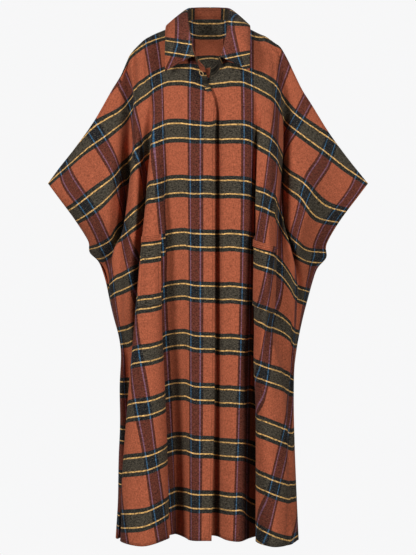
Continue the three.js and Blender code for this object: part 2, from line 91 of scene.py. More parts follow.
def place(x, y, d):
    """A point of the drawing at depth d, in metres."""
    k = (VIEW_DISTANCE + d) / VIEW_DISTANCE
    return np.array([UNIT * (x - MID_X) * k, MM * d, UNIT * (NECK_Y - EYE) + UNIT * (EYE - y) * k])


def levels(top, hem, first=0):
    """How far down the cloth a fold has its six stations."""
    return [top, first, 55, 166, 332, hem]


def fold(name, t, s, x, y, d):
    """One fold of a front: its distance down and across the cloth, and where it hangs."""
    across = s if isinstance(s, list) else [s] * len(t)
    hung = [place(*q) for q in zip(x, y, d)]
    return {"name": name, "t": np.array(t, float), "s": np.array(across, float), "p": np.array(hung)}


# Each fold has six stations: the neck or shoulder edge, 0, 55, 166 and 332 down the cloth, and the hem.
RIGHT_FOLDS = [
    fold("edge", levels(-2, 475, 20), -RIGHT_LAP,
         [204.5, 214.8, 215, 215, 214.5, 211.5], [87.5, 103, 139, 247.5, 400.5, 541],
         [-106, -104, -110, -108, -112, -128]),
    fold("roll", levels(-6, 475), 1,
         [208, 209.5, 208, 208, 207.5, 205], [82, 87.5, 139, 247.5, 400.5, 541],
         [-96, -99, -113, -110, -114, -130]),
    fold("chest", levels(-22, 475), 13.5,
         [196, 195, 195, 195, 195, 195], [61, 83.5, 138.7, 247, 400, 541],
         [-66, -92, -114, -110, -114, -128]),
    fold("throat", levels(-37, 475), 23,
         [187, 186.5, 186.5, 187.5, 188.5, 189], [46, 82, 138, 246, 397.5, 540],
         [-42, -88, -112, -108, -108, -115]),
    fold("neck", levels(-63, 474), 30,
         [178.5, 180.5, 181, 182.5, 184.5, 186], [25, 81.3, 137.5, 245.5, 396.3, 538],
         [0, -84, -108, -104, -98, -100]),
    fold("valley", levels(-64, 471), [42, 44, 46, 48, 53.5, 55],
         [166.5, 168, 169, 171, 172, 175], [29.5, 82, 138, 247, 397.5, 534],
         [0, -82, -106, -98, -78, -66]),
    fold("a_in", levels(-62.5, 467), [54, 56, 57, 62, 75, 98],
         [155.5, 160.5, 161, 163.5, 168, 167.5], [34, 85, 140.2, 251.5, 406.5, 539],
         [0, -80, -112, -124, -138, -160]),
    fold("a_mid", levels(-61.5, 462), [60, 62, 63, 76, 99, 128],
         [149.5, 155.5, 156.5, 153, 151, 143], [37, 87.5, 142, 254, 414.5, 546.5],
         [0, -78, -118, -142, -168, -190]),
    fold("a_out", levels(-60.5, 456), [66, 67, 68, 90, 125, 160],
         [144.5, 151, 150.5, 140.5, 127, 118], [40, 90.5, 144.5, 257, 419, 541],
         [0, -73, -112, -125, -140, -142]),
    fold("a_back", levels(-59, 457), [74, 80, 86, 120, 155, 184],
         [138.5, 144.5, 145, 144, 133, 127], [45.5, 95.5, 153, 270, 428, 536],
         [0, -64, -76, -68, -62, -58]),
    fold("c_in", levels(-56.5, 458), [84, 90, 106, 150, 172, 198],
         [131, 138.5, 142, 138.5, 129, 121.5], [53.5, 100, 160, 281, 438, 537],
         [0, -58, -72, -76, -72, -74]),
    fold("c_top", levels(-55, 459), [93, 96, 113, 157, 180, 204],
         [126, 135.5, 137, 131.5, 126, 118], [62, 102.3, 164, 285.5, 441, 538.7],
         [0, -57, -95, -100, -95, -95]),
    fold("c_out", levels(-54, 460), [100, 101, 119, 166, 187, 208],
         [123, 133, 131.5, 126, 123.5, 116.5], [69, 105.3, 170, 288.5, 441.5, 538.5],
         [0, -50, -84, -96, -92, -90]),
    fold("trough", levels(-52, 460), [107, 112, 133, 176, 193, 211],
         [119.5, 127.5, 124, 121.5, 121.8, 116], [77, 112.5, 178.5, 290.5, 441.5, 537.3],
         [0, -30, -52, -80, -78, -76]),
    fold("arm", levels(-38, 461), [122, 124, 148, 186, 199, 213],
         [110, 120.5, 119.5, 117, 121, 116.5], [93, 123.5, 182.5, 292, 441, 536],
         [0, -30, -60, -74, -60, -60]),
    fold("sleeve", levels(-19, 461), [145.5, 147, 163, 195, 204, 214.5],
         [95, 103.5, 113, 113.5, 121.3, 117], [120, 137.5, 191.5, 294, 440, 535],
         [0, -24, -84, -62, -44, -46]),
    fold("wide", levels(-13, 461, 6), [175, 176, 183, 203, 209, 216],
         [76, 81.5, 101, 110.3, 122, 118], [147, 159.5, 204, 296.5, 439, 534],
         [0, -24, -80, -42, -28, -34]),
    fold("wrist", levels(-5, 461, 12), [203.5, 204, 204, 210.5, 213.5, 217],
         [59, 63, 85.5, 109, 123, 119], [168.5, 182.5, 215.5, 298.5, 438, 533],
         [0, -14, -44, -20, -14, -20]),
    fold("side", levels(0, 461, 15), RIGHT_SIDE,
         [48, 55, 76.5, 111, 124.5, 120.5], [183.5, 192.5, 221, 296, 437, 532],
         [0, 0, -4, 4, 0, -5]),
]
LEFT_FOLDS = [
    fold("under", levels(-6, 470, 14), -LEFT_LAP,
         [203.5, 202.5, 200.5, 200.5, 200, 199], [78, 99, 140, 248, 401.5, 535],
         [-88, -90, -98, -96, -100, -94]),
    fold("fly", levels(-8, 471, 8), 7,
         [214, 215.5, 215.5, 215.5, 215, 213], [76, 91.5, 139, 247.5, 402, 535.5],
         [-88, -91, -101, -97, -96, -82]),
    fold("chest", levels(-19, 472), 14,
         [222.5, 223, 223, 223, 222.5, 219.5], [63.5, 83, 139, 247.5, 403, 537],
         [-64, -88, -108, -104, -104, -98]),
    fold("throat", levels(-31, 473), 22,
         [229.5, 230, 230.5, 230.5, 229, 226], [49, 82, 138.5, 247, 403, 540],
         [-42, -90, -112, -108, -112, -118]),
    fold("neck", levels(-63, 474), 31,
         [239, 241.5, 242, 241, 237.5, 233.5], [25, 82.3, 138.8, 248, 403.7, 541.5],
         [0, -86, -112, -110, -118, -130]),
    fold("crest", levels(-62.5, 474), 40,
         [247, 248.5, 249, 247.5, 244, 241], [28, 84.5, 140, 249, 404, 541.5],
         [0, -84, -108, -105, -106, -128]),
    fold("valley", levels(-60, 460), [50, 50, 50, 50, 52, 53],
         [257, 256, 255, 253.5, 252.5, 253], [33, 88, 143.5, 251, 404, 537],
         [0, -78, -100, -88, -66, -60]),
    fold("b_back", levels(-58, 450), [55, 55, 57, 65, 95, 110],
         [261.5, 259, 259, 257.5, 270, 283], [35, 89.5, 146, 256, 415, 530],
         [0, -74, -96, -86, -10, 12]),
    fold("b_in", levels(-56, 446), [60, 60, 64, 80, 138, 167],
         [266, 262, 262.5, 254, 256, 256], [37, 91, 148, 262, 430, 540],
         [0, -72, -104, -122, -120, -120]),
    fold("b_mid", levels(-54, 440), [68, 70, 78.5, 98, 152, 190],
         [274.5, 270.5, 269, 265.5, 267, 272], [43, 96, 151.5, 267, 436.5, 547],
         [0, -66, -112, -160, -176, -195]),
    fold("b_out", levels(-52, 433), [75, 80, 90.5, 112, 178, 214],
         [281, 275.5, 277, 272, 286, 289], [48, 101, 160, 269.5, 444, 545.5],
         [0, -56, -96, -146, -152, -170]),
    fold("e_in", levels(-50, 433), [86, 96, 108, 119, 184, 219],
         [288, 281.5, 279.5, 273.5, 289.5, 294], [60, 110.5, 166, 270, 445.5, 543],
         [0, -42, -58, -118, -132, -146]),
    fold("e_deep", levels(-47, 433), [98, 108, 124.5, 127, 188, 222],
         [293.5, 286, 282, 276.5, 291.5, 296.8], [72, 117.5, 172, 272, 447, 541],
         [0, -28, -26, -94, -114, -126]),
    fold("e_out", levels(-43, 433), [113, 117, 145, 137, 193, 225],
         [300, 288.5, 285.5, 283, 293.3, 298.3], [86, 122, 183, 277.5, 447, 540],
         [0, -26, -52, -90, -94, -108]),
    fold("arm", levels(-40, 433), [124.5, 128, 157, 150, 199, 227],
         [304.5, 292, 289, 290, 294.3, 298], [94, 126.5, 190, 287, 445, 538.5],
         [0, -30, -74, -86, -74, -92]),
    fold("sleeve", levels(-35, 433), [136.5, 141, 170.5, 165, 207, 228.5],
         [311, 300, 294, 294, 293.8, 297], [104, 133.5, 197, 295, 443, 537.5],
         [0, -28, -90, -80, -58, -82]),
    fold("wide", levels(-18.5, 433, 4), [170.5, 172, 187, 186, 215, 230],
         [329, 322, 304.5, 297.5, 292.5, 296], [133, 154.5, 207.5, 298, 441.5, 537],
         [0, -26, -88, -66, -46, -74]),
    fold("wrist", levels(-9, 433, 10), [203, 203.5, 207, 208, 223, 231],
         [348.5, 343.5, 318.5, 302, 291, 295], [159.5, 178, 218, 300.5, 440, 536.5],
         [0, -14, -50, -40, -36, -66]),
    fold("side", levels(0, 433, 15), LEFT_SIDE,
         [368, 360.5, 338, 306.5, 290, 294], [183.5, 193, 222.5, 302.5, 439, 536],
         [0, 0, -4, -12, -28, -60]),
]
# The fold at the neck point, where the shoulder seam starts, has the same number on both fronts.
NECK_ROW = [f["name"] for f in RIGHT_FOLDS].index("neck")
# The back neck edge from a shoulder seam to the middle: across and down the cloth, then where it hangs
# as x from the middle, y and depth.
NAPE = [(22, -70, 20.5, 21.5, 38), (13, -75, 12.5, 19.8, 56), (0, -76, 0, 19.5, 62)]

# Stand top and free edge of the collar leaf, one row for each fold of the neck edge, from the
# wearer's right front round the back to the left front: x, y, depth, twice.
COLLAR = [
    ((198.5, 65, -110), None),
    ((204.5, 67.5, -108), None),
    ((195.5, 56, -92), (165, 71, -96)),
    ((191, 38, -62), (165, 50, -80)),
    ((187.8, 17, -8), (166, 26.6, -2)),
    ((189, 10, 32), (171, 29, 34)),
    ((196, 8.4, 56), (188, 31.5, 82)),
    ((208.5, 8, 64), (208.5, 32.5, 92)),
    ((221.5, 8.4, 56), (229, 31.5, 82)),
    ((228.5, 10, 32), (246, 29, 34)),
    ((228.7, 16.5, -8), (250, 26.4, -2)),
    ((225, 40, -62), (250, 50, -80)),
    ((219.5, 57.5, -90), (249.5, 71, -96)),
    ((213.5, 66, -100), None),
    ((206, 68.5, -100), None),
]
LEAF_FROM = 2
LEAF_TO = 12
COLLAR_MIDDLE = 7
# The small squares between two rows, down the stand and down the leaf.
COLLAR_SQUARES = 12
STAND_ROWS = 15
LEAF_ROWS = 27
# The rows where the stand crosses the shoulder seams, how far round them it is held higher, and its height
# over the seam there and elsewhere, in mm.
SHOULDER_ROWS = (4, 10)
SHOULDER_REACH = 0.8
SHOULDER_CLEAR = 1.4
FOOT_CLEAR = 0.4

# The weave on the stand, in metres: where its top edge lies across the pattern, how it is stretched round the
# neck and where it starts. Its right end lies on another place of the pattern: the row it ends at, over how
# many rows, its place across, and the height in the drawing that its band starts from. Past the left shoulder
# the weave slips down, and the left end has two stretches that each start at a row and lie so far down.
STAND_WEAVE = {"across": 0.035, "stretch": 1.12, "down": 21.5 * UNIT}
RIGHT_END = {"row": 2.2, "over": 0.6, "across": 0.0575, "level": 86.5, "stretch": 14 / 11}
LEFT_SLIP = {"row": 9.5, "over": 2.5, "by": 0.036}
LEFT_END = [(12.3, 0.394), (13.4, 0.31)]
LEFT_END_OVER = 0.15
LEFT_END_LEAN = 0.2
# Painted shade: the stand's cloth is darkened to this share of its brightness.
STAND_SHADE_BRIGHTNESS = 0.5

# The weave on the two front flaps, in the drawing: points on the middle of an upright stripe, how far across
# the cloth a step to the right goes, a point where a band starts, and its slope at the heights FLAP_SLOPE_Y.
# A step down in the drawing goes FLAP_LENGTHEN as far down the cloth.
FLAPS = {
    "right": {"stripe_y": [30, 45, 57, 66, 72], "stripe_x": [184, 183.2, 179.3, 175.3, 172.8],
              "widen": -0.92, "band_at": (166, 52), "slope": [0.154, 0.154]},
    "left": {"stripe_y": [30, 40, 50, 55, 66, 71], "stripe_x": [225.5, 227.7, 230, 231.3, 235.2, 237.2],
             "widen": 0.88, "band_at": (240, 22.7), "slope": [0.08, -0.22]},
}
FLAP_SLOPE_Y = [22, 57]
FLAP_LENGTHEN = 1.25
# The flaps' own grain starts FLAP_FROM rows from the middle, over so many rows. Between the flaps the leaf's
# top edge lies LEAF_STRIPE before the middle of a stripe.
FLAP_FROM = 2.4
FLAP_OVER = 0.8
LEAF_STRIPE = 6
# The leaf's curve, out and up in mm: where it starts off the stand's top edge, and its two pulls. The second
# one lies a share of the way to the free edge. Its squares are a little closer at the top.
LEAF_START = (0.5, 1)
LEAF_ROLL = (2, 6)
LEAF_FALL = (8, 5)
LEAF_SHARE = 0.38
LEAF_CROWD = 1.15

# The buttonhole in the stand's right end: where it is drawn, its radius and that of its thread, how it is
# drawn out, and how far it is turned, in radians.
BUTTONHOLE_AT = (201.3, 73.3, -112)
BUTTONHOLE = 0.0048
THREAD = 0.0011
BUTTONHOLE_SHAPE = (0.75, 1, 1.25)
BUTTONHOLE_TURN = -0.6

# What lies on a front: the fold numbers and the stations it reaches over. A pocket's weave, and that of the
# band across its mouth, are moved across and down the pattern, in drawing units.
FLY = {"c": (0.2, 2), "v": (1.25, 4.7)}
POCKETS = {
    "right": {"c": (6.4, 7.8), "v": (2.83, 3.32), "shift": (-3, 4.5), "band_shift": (-3, 18.5)},
    "left": {"c": (7.3, 11.6), "v": (2.8, 3.25), "shift": (22, 0.5), "band_shift": (25.5, 14.5)},
}
# The squares across and down each of them.
FLY_SQUARES = (12, 190)
POCKET_SQUARES = (60, 50)
BAND_SQUARES = (60, 18)
# The gap under what is laid on the cloth, how far a pocket's mouth gapes, and how thick its edges are turned.
LAID_GAP = 0.5 * MM
POCKET_GAPE = 2.5 * MM
TURNED_EDGE = 1.8 * MM
# The band stands off the pocket by BAND_GAP, ends short of its sides by a part of a fold, and is a part of a
# station tall. Its stitch rows lie at parts of its height and press it in.
BAND_GAP = 1.2 * MM
BAND_INSET = 0.02
BAND_TALL = 0.055
BAND_ROWS = np.array([0.18, 0.5, 0.82])
BAND_PRESS = 0.7 * MM

# How soft the edges of the stripes and of the fine lines are, and how far they waver, in metres.
YARN_EDGE = 0.0014
LINE_EDGE = 0.001
WAVER = 0.0004
# A stitch row: its half width and how soft it is, half the pitch of its stitches, half their length and how
# soft their ends are, in metres.
STITCH_HALF = 0.0007
STITCH_EDGE = 0.0008
STITCH_PITCH = 0.0022
STITCH_LONG = 0.0017
STITCH_END = 0.0006
# The yarns' grain: how its noise is drawn out on the cloth, its scale and detail, its strength, and how much
# stronger it is in the dark yarns.
GRAINS = {
    "threads": ((1.0, 0.36, 1.0), 420.0, 1.0, 1.1, 0.7),
    "picks": ((0.36, 1.0, 1.0), 400.0, 1.0, 0.9, 2.4),
    "flecks": ((1.0, 1.0, 1.0), 560.0, 1.0, 0.5, 1.2),
    "clouds": ((1.0, 1.0, 1.0), 55.0, 3.0, 0.4, 0.1),
}
# How much each of these shows in the colour (the stitch rows darken it: the stitched line itself, and painted
# shade of its pressed groove), the darkest tone that is left, and the colour of a fine line where it crosses
# a bright one.
SHOWS = {"pin": 0.74, "line": 0.92, "pin_on_line": 0.45, "stripe_grain": 0.5, "rib": 0.04, "row": -0.42}
DARKEST = 0.25
CROSSING = (0.75, 0.72, 0.62, 1)
# Pale fibres that stand out of the dark yarns: the scale of their noise, how much of it they are, how soft
# they are and how much they show.
FIBRES = {"scale": 480.0, "part": 0.34, "soft": 0.1, "shows": 0.34}
# The relief: the parts of ribs, flecks and stitches in it, its strength and its height in metres.
RELIEF = {"ribs": 0.35, "flecks": 0.9, "stitches": 2.0, "strength": 0.35, "height": 0.0006}

# The stage: the floor's half side and height, the faint light all round, and the lamps with their power.
FLOOR_SIZE = 9
FLOOR_Z = -1.36
SKY_LIGHT = 0.17
SOFT_LAMPS = [("key", 76, (-2.1, -3.0, 0.3)), ("fill", 54, (2.1, -3.0, 0.1))]
LAMP_SIZE = 0.8
LAMPS_AIM = (0, 0, -0.6)
NECK_LAMP = {"power": 72, "at": (0, -1.5, 0.16), "aim": (0, 0.05, -0.018), "angle": 5.6, "soft": 0.05}

# A crease is followed in so many short steps from one of its points to the next.
CREASE_STEPS = 12
# Creases laid on the cloth, one by one. Each row: panel, the points it runs through (across, down), its
# half width towards the centre front and towards the side (on the back, towards its right and its left),
# its height in mm, and how far its bottom is tucked to the right in the drawing, under the cloth beside it.
# Widths and tucks are in drawing units.
CREASES = [
    # Beside the fly the left front drops back, so the fly's edge stands clear of it.
    ("front_left", [(6, 16), (8, 60), (8, 166), (8, 330), (7.5, 478)], 4, 3.2, -22, 0),
    # The body's two long folds: the valleys that run beside them, with their edges turned over.
    ("front_right", [(51, 96), (55, 150), (59, 200), (65, 266)], 5, 4, -12, -4),
    ("front_right", [(55, 176), (58, 222), (62, 290), (66, 360), (73, 430), (82, 540)], 9, 10, -14, -8),
    ("front_right",
     [(73, 4), (74, 30), (82, 56), (94, 82), (106, 110), (118, 142), (126, 182), (136, 244)],
     9, 10, -34, 5.5),
    ("front_left", [(51, 14), (51, 50), (51, 110), (51, 200), (52, 330), (52, 482)], 5, 3.5, -22, 0.5),
    ("front_left", [(57, 24), (58, 60), (62, 100), (70, 140), (80, 190)], 3.5, 4, -2, 4),
    # Under the sleeves the cloth falls into a deep slanting hollow.
    ("front_right",
     [(92, -62), (99, -30), (107, 0), (117, 34), (130, 58), (147, 86), (164, 104), (186, 112), (203, 132),
      (210, 162), (211, 196)],
     5, 18, -54, 4),
    # Below it the cloth behind the long fold stays back.
    ("front_right", [(176, 214), (180, 250), (184, 290), (186, 330), (184, 372), (174, 412), (164, 470)],
     16, 11, -64, 8),
    ("front_left",
     [(80, -34), (96, -14), (114, 8), (130, 36), (140, 68), (150, 94), (166, 112), (184, 128), (193, 154),
      (192, 200)],
     6, 14, -48, -4),
    # The strip behind the fold's outer edge.
    ("front_left", [(158, 190), (171, 262), (178, 305), (189, 350), (203, 395), (214, 450)], 3, 4, -14, -2),
    # Small pulls from the collar, the shoulders and the pocket.
    ("front_right", [(30, -44), (44, -10), (58, 36)], 6, 6, -2, 0),
    ("front_right", [(48, -52), (64, -10), (80, 30)], 5, 7, 2, 0),
    ("front_right", [(82, -54), (86, -34), (91, -10), (97, 14)], 3, 5, -13, 1),
    ("front_right", [(71, -46), (75, -26), (79, 0)], 2.5, 3, -4, 0.5),
    ("front_right", [(135, -8), (160, 30), (186, 70)], 8, 10, 4, 0),
    ("front_right", [(79, 128), (83, 160), (87, 196), (91, 232)], 2, 3, -5, -1),
    ("front_left", [(34, -50), (46, -14), (54, 30)], 6, 6, -2, 0),
    ("front_left", [(66, -46), (72, -20), (76, 10)], 3, 4, -4, 0),
    ("front_left", [(87, 62), (93, 98), (98, 120), (107, 150)], 2.5, 5, -18, 2),
    ("front_left", [(140, -18), (165, 20), (190, 60)], 8, 10, 4, 0),
    # The hidden side: long soft folds down the back and short ones below the shoulders.
    ("back", [(-168, -10), (-146, 50), (-132, 120), (-120, 200), (-116, 300)], 12, 10, -14, 0),
    ("back", [(170, -10), (150, 50), (134, 120), (124, 200), (120, 300)], 12, 10, -14, 0),
    ("back", [(-86, -44), (-80, 20), (-84, 110), (-92, 240), (-98, 400)], 9, 11, -9, 0),
    ("back", [(92, -42), (84, 24), (86, 120), (94, 250), (100, 410)], 11, 9, -9, 0),
    ("back", [(-34, -40), (-28, 40), (-30, 160), (-36, 320), (-40, 470)], 9, 9, -7, 0),
    ("back", [(30, -40), (24, 50), (28, 170), (34, 330), (40, 470)], 9, 10, -7, 0),
]

# Soft pushes that settle the drape: panel, where on the cloth (across, down), how far the push
# reaches each way, and how far it goes: right and down in drawing units, and back in mm. The back is
# pushed with the fronts, and in depth by BACK_PUSH as much.
BACK_PUSH = -0.6
PUSHES = [
    ("front_right", (218, 101), (12, 10), (-5, 0.5, 6)),
    ("front_right", (207, 122), (9, 12), (0, 2, 10)),
    ("front_right", (212, 226), (24, 34), (6, 0, 0)),
    ("front_right", (210, 350), (18, 46), (-2.5, 0, 0)),
    ("front_right", (61, 180), (6, 50), (3, 0, -4)),
    ("front_left", (232, 103), (16, 11), (6, 0.5, 6)),
    ("front_left", (219, 124), (9, 12), (1, 2, 10)),
    ("front_left", (130, 232), (17, 38), (-6.5, 0, 0)),
    ("front_left", (226, 330), (22, 66), (0, -5.5, 0)),
    ("front_left", (176, 56), (18, 30), (4.5, 0, 0)),
    ("front_left", (168, 44), (13, 16), (4, 0, 0)),
    ("front_left", (168, 90), (13, 16), (-3, 0, 0)),
    ("front_left", (64, 60), (5, 32), (-4.5, -2.6, -6)),
    ("front_left", (66, 108), (6, 32), (-3.5, 0, -4)),
]

# Where a warp stripe is centred on each panel, across the cloth.
STRIPE_AT = {"front_right": 13.5, "front_left": -7.5, "back": 23}


def unit(v):
    return v / np.maximum(np.linalg.norm(v, axis=-1, keepdims=True), 1e-12)


def drop_of(run, over):
    """How far a run of cloth falls when it also goes over sideways: never less than a part of its length."""
    return math.sqrt(max(run * run - over * over, LEAST_DROP * run * run))


def back_fold(front, side_row, sign):
    """A back fold lies behind a front fold: same place across, depth mirrored about the hollow."""
    width = side_row["s"][0]
    t, hung = front["t"].copy(), [front["p"][0]]
    for k in range(1, 6):
        f, last = front["p"][k], hung[-1]
        share = min(1, front["s"][k] / width) ** SEAM_PULL
        seam = side_row["p"][k][1] * share
        before = MM * FRONT_DEPTH[k] * (1 - share) + seam
        behind = MM * BACK_DEPTH[k] * (1 - share) + seam
        q = np.array([f[0], behind - BACK_FOLD * (f[1] - before), 0])
        run = math.hypot(t[k] - t[k - 1], front["s"][k] - front["s"][k - 1]) * UNIT
        over = math.hypot(q[0] - last[0], q[1] - last[1])
        hold = share ** 3
        q[2] = (last[2] - drop_of(run, over)) * (1 - hold) + f[2] * hold
        if k == 5:
            q[2] = HEM_Z * (1 - hold) + f[2] * hold
            t[5] = (t[4] + math.hypot(over, q[2] - last[2]) / UNIT) * (1 - hold) + t[5] * hold
        hung.append(q)
    return {"name": front["name"], "t": t, "s": front["s"] * sign, "p": np.array(hung)}


def nape_fold(s, t, x, y, d, sign):
    """A fold of the back that hangs from the back neck edge."""
    a, b = RIGHT_FOLDS[NECK_ROW], LEFT_FOLDS[NECK_ROW]
    f = (s * sign + a["s"][0]) / (a["s"][0] + b["s"][0])
    down = np.array(levels(t, NAPE_HEM), float)
    hung = [place(MID_X + x * sign, y, d)]
    for k in range(1, 6):
        last = hung[-1]
        px = a["p"][k][0] * (1 - f) + b["p"][k][0] * f
        over = math.hypot(px - last[0], MM * BACK_DEPTH[k] - last[1])
        fall = drop_of((down[k] - down[k - 1]) * UNIT, over)
        hung.append(np.array([px, MM * BACK_DEPTH[k], HEM_Z if k == 5 else last[2] - fall]))
        if k == 5:
            down[5] = down[4] + math.hypot(over, hung[5][2] - last[2]) / UNIT
    return {"name": "nape", "t": down, "s": np.full(6, float(s * sign)), "p": np.array(hung)}


def back_folds():
    """The folds of the back, from the right side seam round to the left one."""
    right = [back_fold(f, RIGHT_FOLDS[-1], -1) for f in RIGHT_FOLDS[NECK_ROW:]]
    left = [back_fold(f, LEFT_FOLDS[-1], 1) for f in LEFT_FOLDS[NECK_ROW:]]
    nape = [nape_fold(*n, -1) for n in NAPE] + [nape_fold(*n, 1) for n in NAPE[-2::-1]]
    return right[::-1] + nape + left


# Each panel: its folds, the way it faces (-1 to the front), the way its columns turn, and its cut width.
PANELS = {
    "front_right": {"folds": RIGHT_FOLDS, "face": -1, "turn": 1, "width": RIGHT_SIDE + RIGHT_LAP},
    "front_left": {"folds": LEFT_FOLDS, "face": -1, "turn": -1, "width": LEFT_SIDE + LEFT_LAP},
    "back": {"folds": back_folds(), "face": 1, "turn": 1, "width": RIGHT_SIDE + LEFT_SIDE},
}


def through(at, values, t):
    """A smooth curve through values at uneven stations, without overshoot, at every t."""
    n = len(at)
    i = np.clip(np.searchsorted(at[1:-1], t, side="left"), 0, n - 2)
    h, rise = np.diff(at), np.diff(values) / np.diff(at)
    slope = np.empty(n)
    slope[0], slope[-1] = rise[0], rise[-1]
    mixed = (rise[:-1] * h[1:] + rise[1:] * h[:-1]) / (h[:-1] + h[1:])
    slope[1:-1] = np.where(rise[:-1] * rise[1:] <= 0, 0, mixed)
    f = (t - at[i]) / h[i]
    return (
        (2 * f ** 3 - 3 * f * f + 1) * values[i]
        + (f ** 3 - 2 * f * f + f) * h[i] * slope[i]
        + (3 * f * f - 2 * f ** 3) * values[i + 1]
        + (f ** 3 - f * f) * h[i] * slope[i + 1]
    )


def between_rows(rows, c):
    """A curve through evenly numbered rows, taken at every number in c."""
    rows = np.asarray(rows, float)
    n = len(rows)
    i = np.clip(np.floor(c).astype(int), 0, n - 2)
    f = (c - i).reshape((-1,) + (1,) * (rows.ndim - 1))
    b, e = rows[i], rows[i + 1]
    a = np.where((i > 0).reshape(f.shape), rows[np.maximum(i - 1, 0)], 2 * b - e)
    g = np.where((i + 2 < n).reshape(f.shape), rows[np.minimum(i + 2, n - 1)], 2 * e - b)
    return 0.5 * (
        2 * b + (e - a) * f + (2 * a - 5 * b + 4 * e - g) * f * f + (3 * b - a - 3 * e + g) * f ** 3
    )


def eased(share):
    """A share of 0 to 1 with a soft start and a soft end."""
    return share * share * (3 - 2 * share)


def crease_shape(panel, s, t):
    """How far the listed creases lift the cloth at each point, and tuck it to the right, in metres."""
    height, tucked = np.zeros_like(s), np.zeros_like(s)
    for name, points, inner, outer, mm, tuck in CREASES:
        if name != panel:
            continue
        count = CREASE_STEPS * (len(points) - 1)
        line = between_rows(points, np.linspace(0, len(points) - 1, count + 1))
        near = np.full(s.shape, np.inf)
        side, share = np.zeros_like(s), np.zeros_like(s)
        for k, (a, b) in enumerate(zip(line[:-1], line[1:])):
            run = np.hypot(*(b - a))
            way = (b - a) / run
            f = np.clip((s - a[0]) * way[0] + (t - a[1]) * way[1], 0, run)
            ds, dt = s - a[0] - f * way[0], t - a[1] - f * way[1]
            off = np.hypot(ds, dt)
            closer = off < near
            near = np.where(closer, off, near)
            side = np.where(closer, way[0] * dt - way[1] * ds, side)
            share = np.where(closer, (k + f / run) / count, share)
        half = np.where(side > 0, inner, outer)
        # A crease runs out softly at both its ends.
        fade = np.sin(np.pi * np.clip(share, 0.02, 0.98)) ** 0.5
        hold = fade * np.exp(-((near / half) ** 2))
        height += MM * mm * hold
        tucked += UNIT * tuck * hold
    return height[..., None], tucked


def pushed(panel, p, s, t):
    """The cloth after its soft pushes. The back goes along with the fronts, and the other way in depth."""
    k = 1 + p[..., 1:2] / (VIEW_DISTANCE * MM)
    for name, (at_s, at_t), (reach_s, reach_t), (right, down, back) in PUSHES:
        if panel not in (name, "back"):
            continue
        across = -s if panel == "back" and name == "front_right" else s
        depth = back * BACK_PUSH if panel == "back" else back
        hold = np.exp(-(((across - at_s) / reach_s) ** 2) - ((t - at_t) / reach_t) ** 2)[..., None]
        p = p + hold * np.concatenate([UNIT * right * k, MM * depth + 0 * k, -UNIT * down * k], axis=-1)
    return p


def sight(p):
    """Unit directions from each point towards the place the front drawing is seen from."""
    return unit(np.array([0, -VIEW_DISTANCE * MM, UNIT * (NECK_Y - EYE)]) - p)


def normals_of(p, turn):
    """Unit normals of a grid of points, pointing out of the coat."""
    along = np.gradient(p, axis=0)
    down = np.gradient(p, axis=1)
    return unit(np.cross(along, down)) * turn


def hang(panel, c, v):
    """The cloth of a panel over fold numbers c and stations v: its points, then across and down the cut."""
    made = PANELS[panel]
    rows = []
    k = np.clip(np.floor(v).astype(int), 0, 4)
    for f in made["folds"]:
        t = f["t"][k] + (f["t"][k + 1] - f["t"][k]) * (v - k)
        parts = [t, through(f["t"], f["s"], t)] + [through(f["t"], f["p"][:, m], t) for m in range(3)]
        rows.append(np.stack(parts, axis=-1))
    cloth = between_rows(rows, c)
    t, s, p = cloth[..., 0], cloth[..., 1], cloth[..., 2:].copy()
    width = np.where(p[..., 0] < 0, RIGHT_SIDE, LEFT_SIDE)
    close = np.maximum(0, 1 - (width - np.abs(s)) / CUFF_REACH) ** 2
    opening = np.where((t > 0) & (t < CUFF_END), np.sin(np.pi * t / CUFF_END), 0)
    p[..., 1] += made["face"] * MM * CUFF_HALF_GAP * opening * close
    return p, s, t


def fine_columns(folds, step):
    """Fold numbers for a fine cloth: as many in each gap as keep the squares near step wide."""
    c = []
    for i, (a, b) in enumerate(zip(folds[:-1], folds[1:])):
        count = max(3, int(np.max(np.abs(b["s"] - a["s"])) / step + 0.5))
        c += [i + q / count for q in range(count)]
    return np.array(c + [len(folds) - 1.0])


def fine_rows(step):
    """Station numbers for a fine cloth, as many between two stations as keep the squares near step long."""
    v = []
    for k, span in enumerate(STATION_SPANS):
        count = int(span / step + 0.5)
        v += [k + q / count for q in range(count)]
    return np.array(v + [5.0])


def cloth_mesh(name, p, u, v, turn, wall, rim):
    """Cuts a flat cloth of small squares, then moves every corner to where it hangs.

    u and v say where each corner lies on the woven pattern, and rim how far it is from the nearest
    stitched edge, all in metres.
    """
    columns, rows = p.shape[0] - 1, p.shape[1] - 1
    cut = bmesh.new()
    bmesh.ops.create_grid(cut, x_segments=columns, y_segments=rows, size=0.5)
    if turn < 0:
        bmesh.ops.reverse_faces(cut, faces=cut.faces)
    mesh = bpy.data.meshes.new(name)
    cut.to_mesh(mesh)
    cut.free()
    flat = np.empty(len(mesh.vertices) * 3)
    mesh.vertices.foreach_get("co", flat)
    flat = flat.reshape(-1, 3)
    i = np.rint((flat[:, 0] + 0.5) * columns).astype(int)
    j = np.rint((flat[:, 1] + 0.5) * rows).astype(int)
    mesh.vertices.foreach_set("co", p[i, j].astype(np.float32).ravel())
    corner = np.empty(len(mesh.loops), dtype=np.int32)
    mesh.loops.foreach_get("vertex_index", corner)
    for layer, first, second in (("cloth", u, v), ("rim", rim, 0 * rim)):
        laid = np.stack([first[i, j][corner], second[i, j][corner]], axis=-1)
        mesh.uv_layers.new(name=layer).data.foreach_set("uv", laid.astype(np.float32).ravel())
    piece = new_piece(name, mesh)
    shell = piece.modifiers.new("wall", "SOLIDIFY")
    shell.thickness = wall
    shell.offset = 0
    return piece


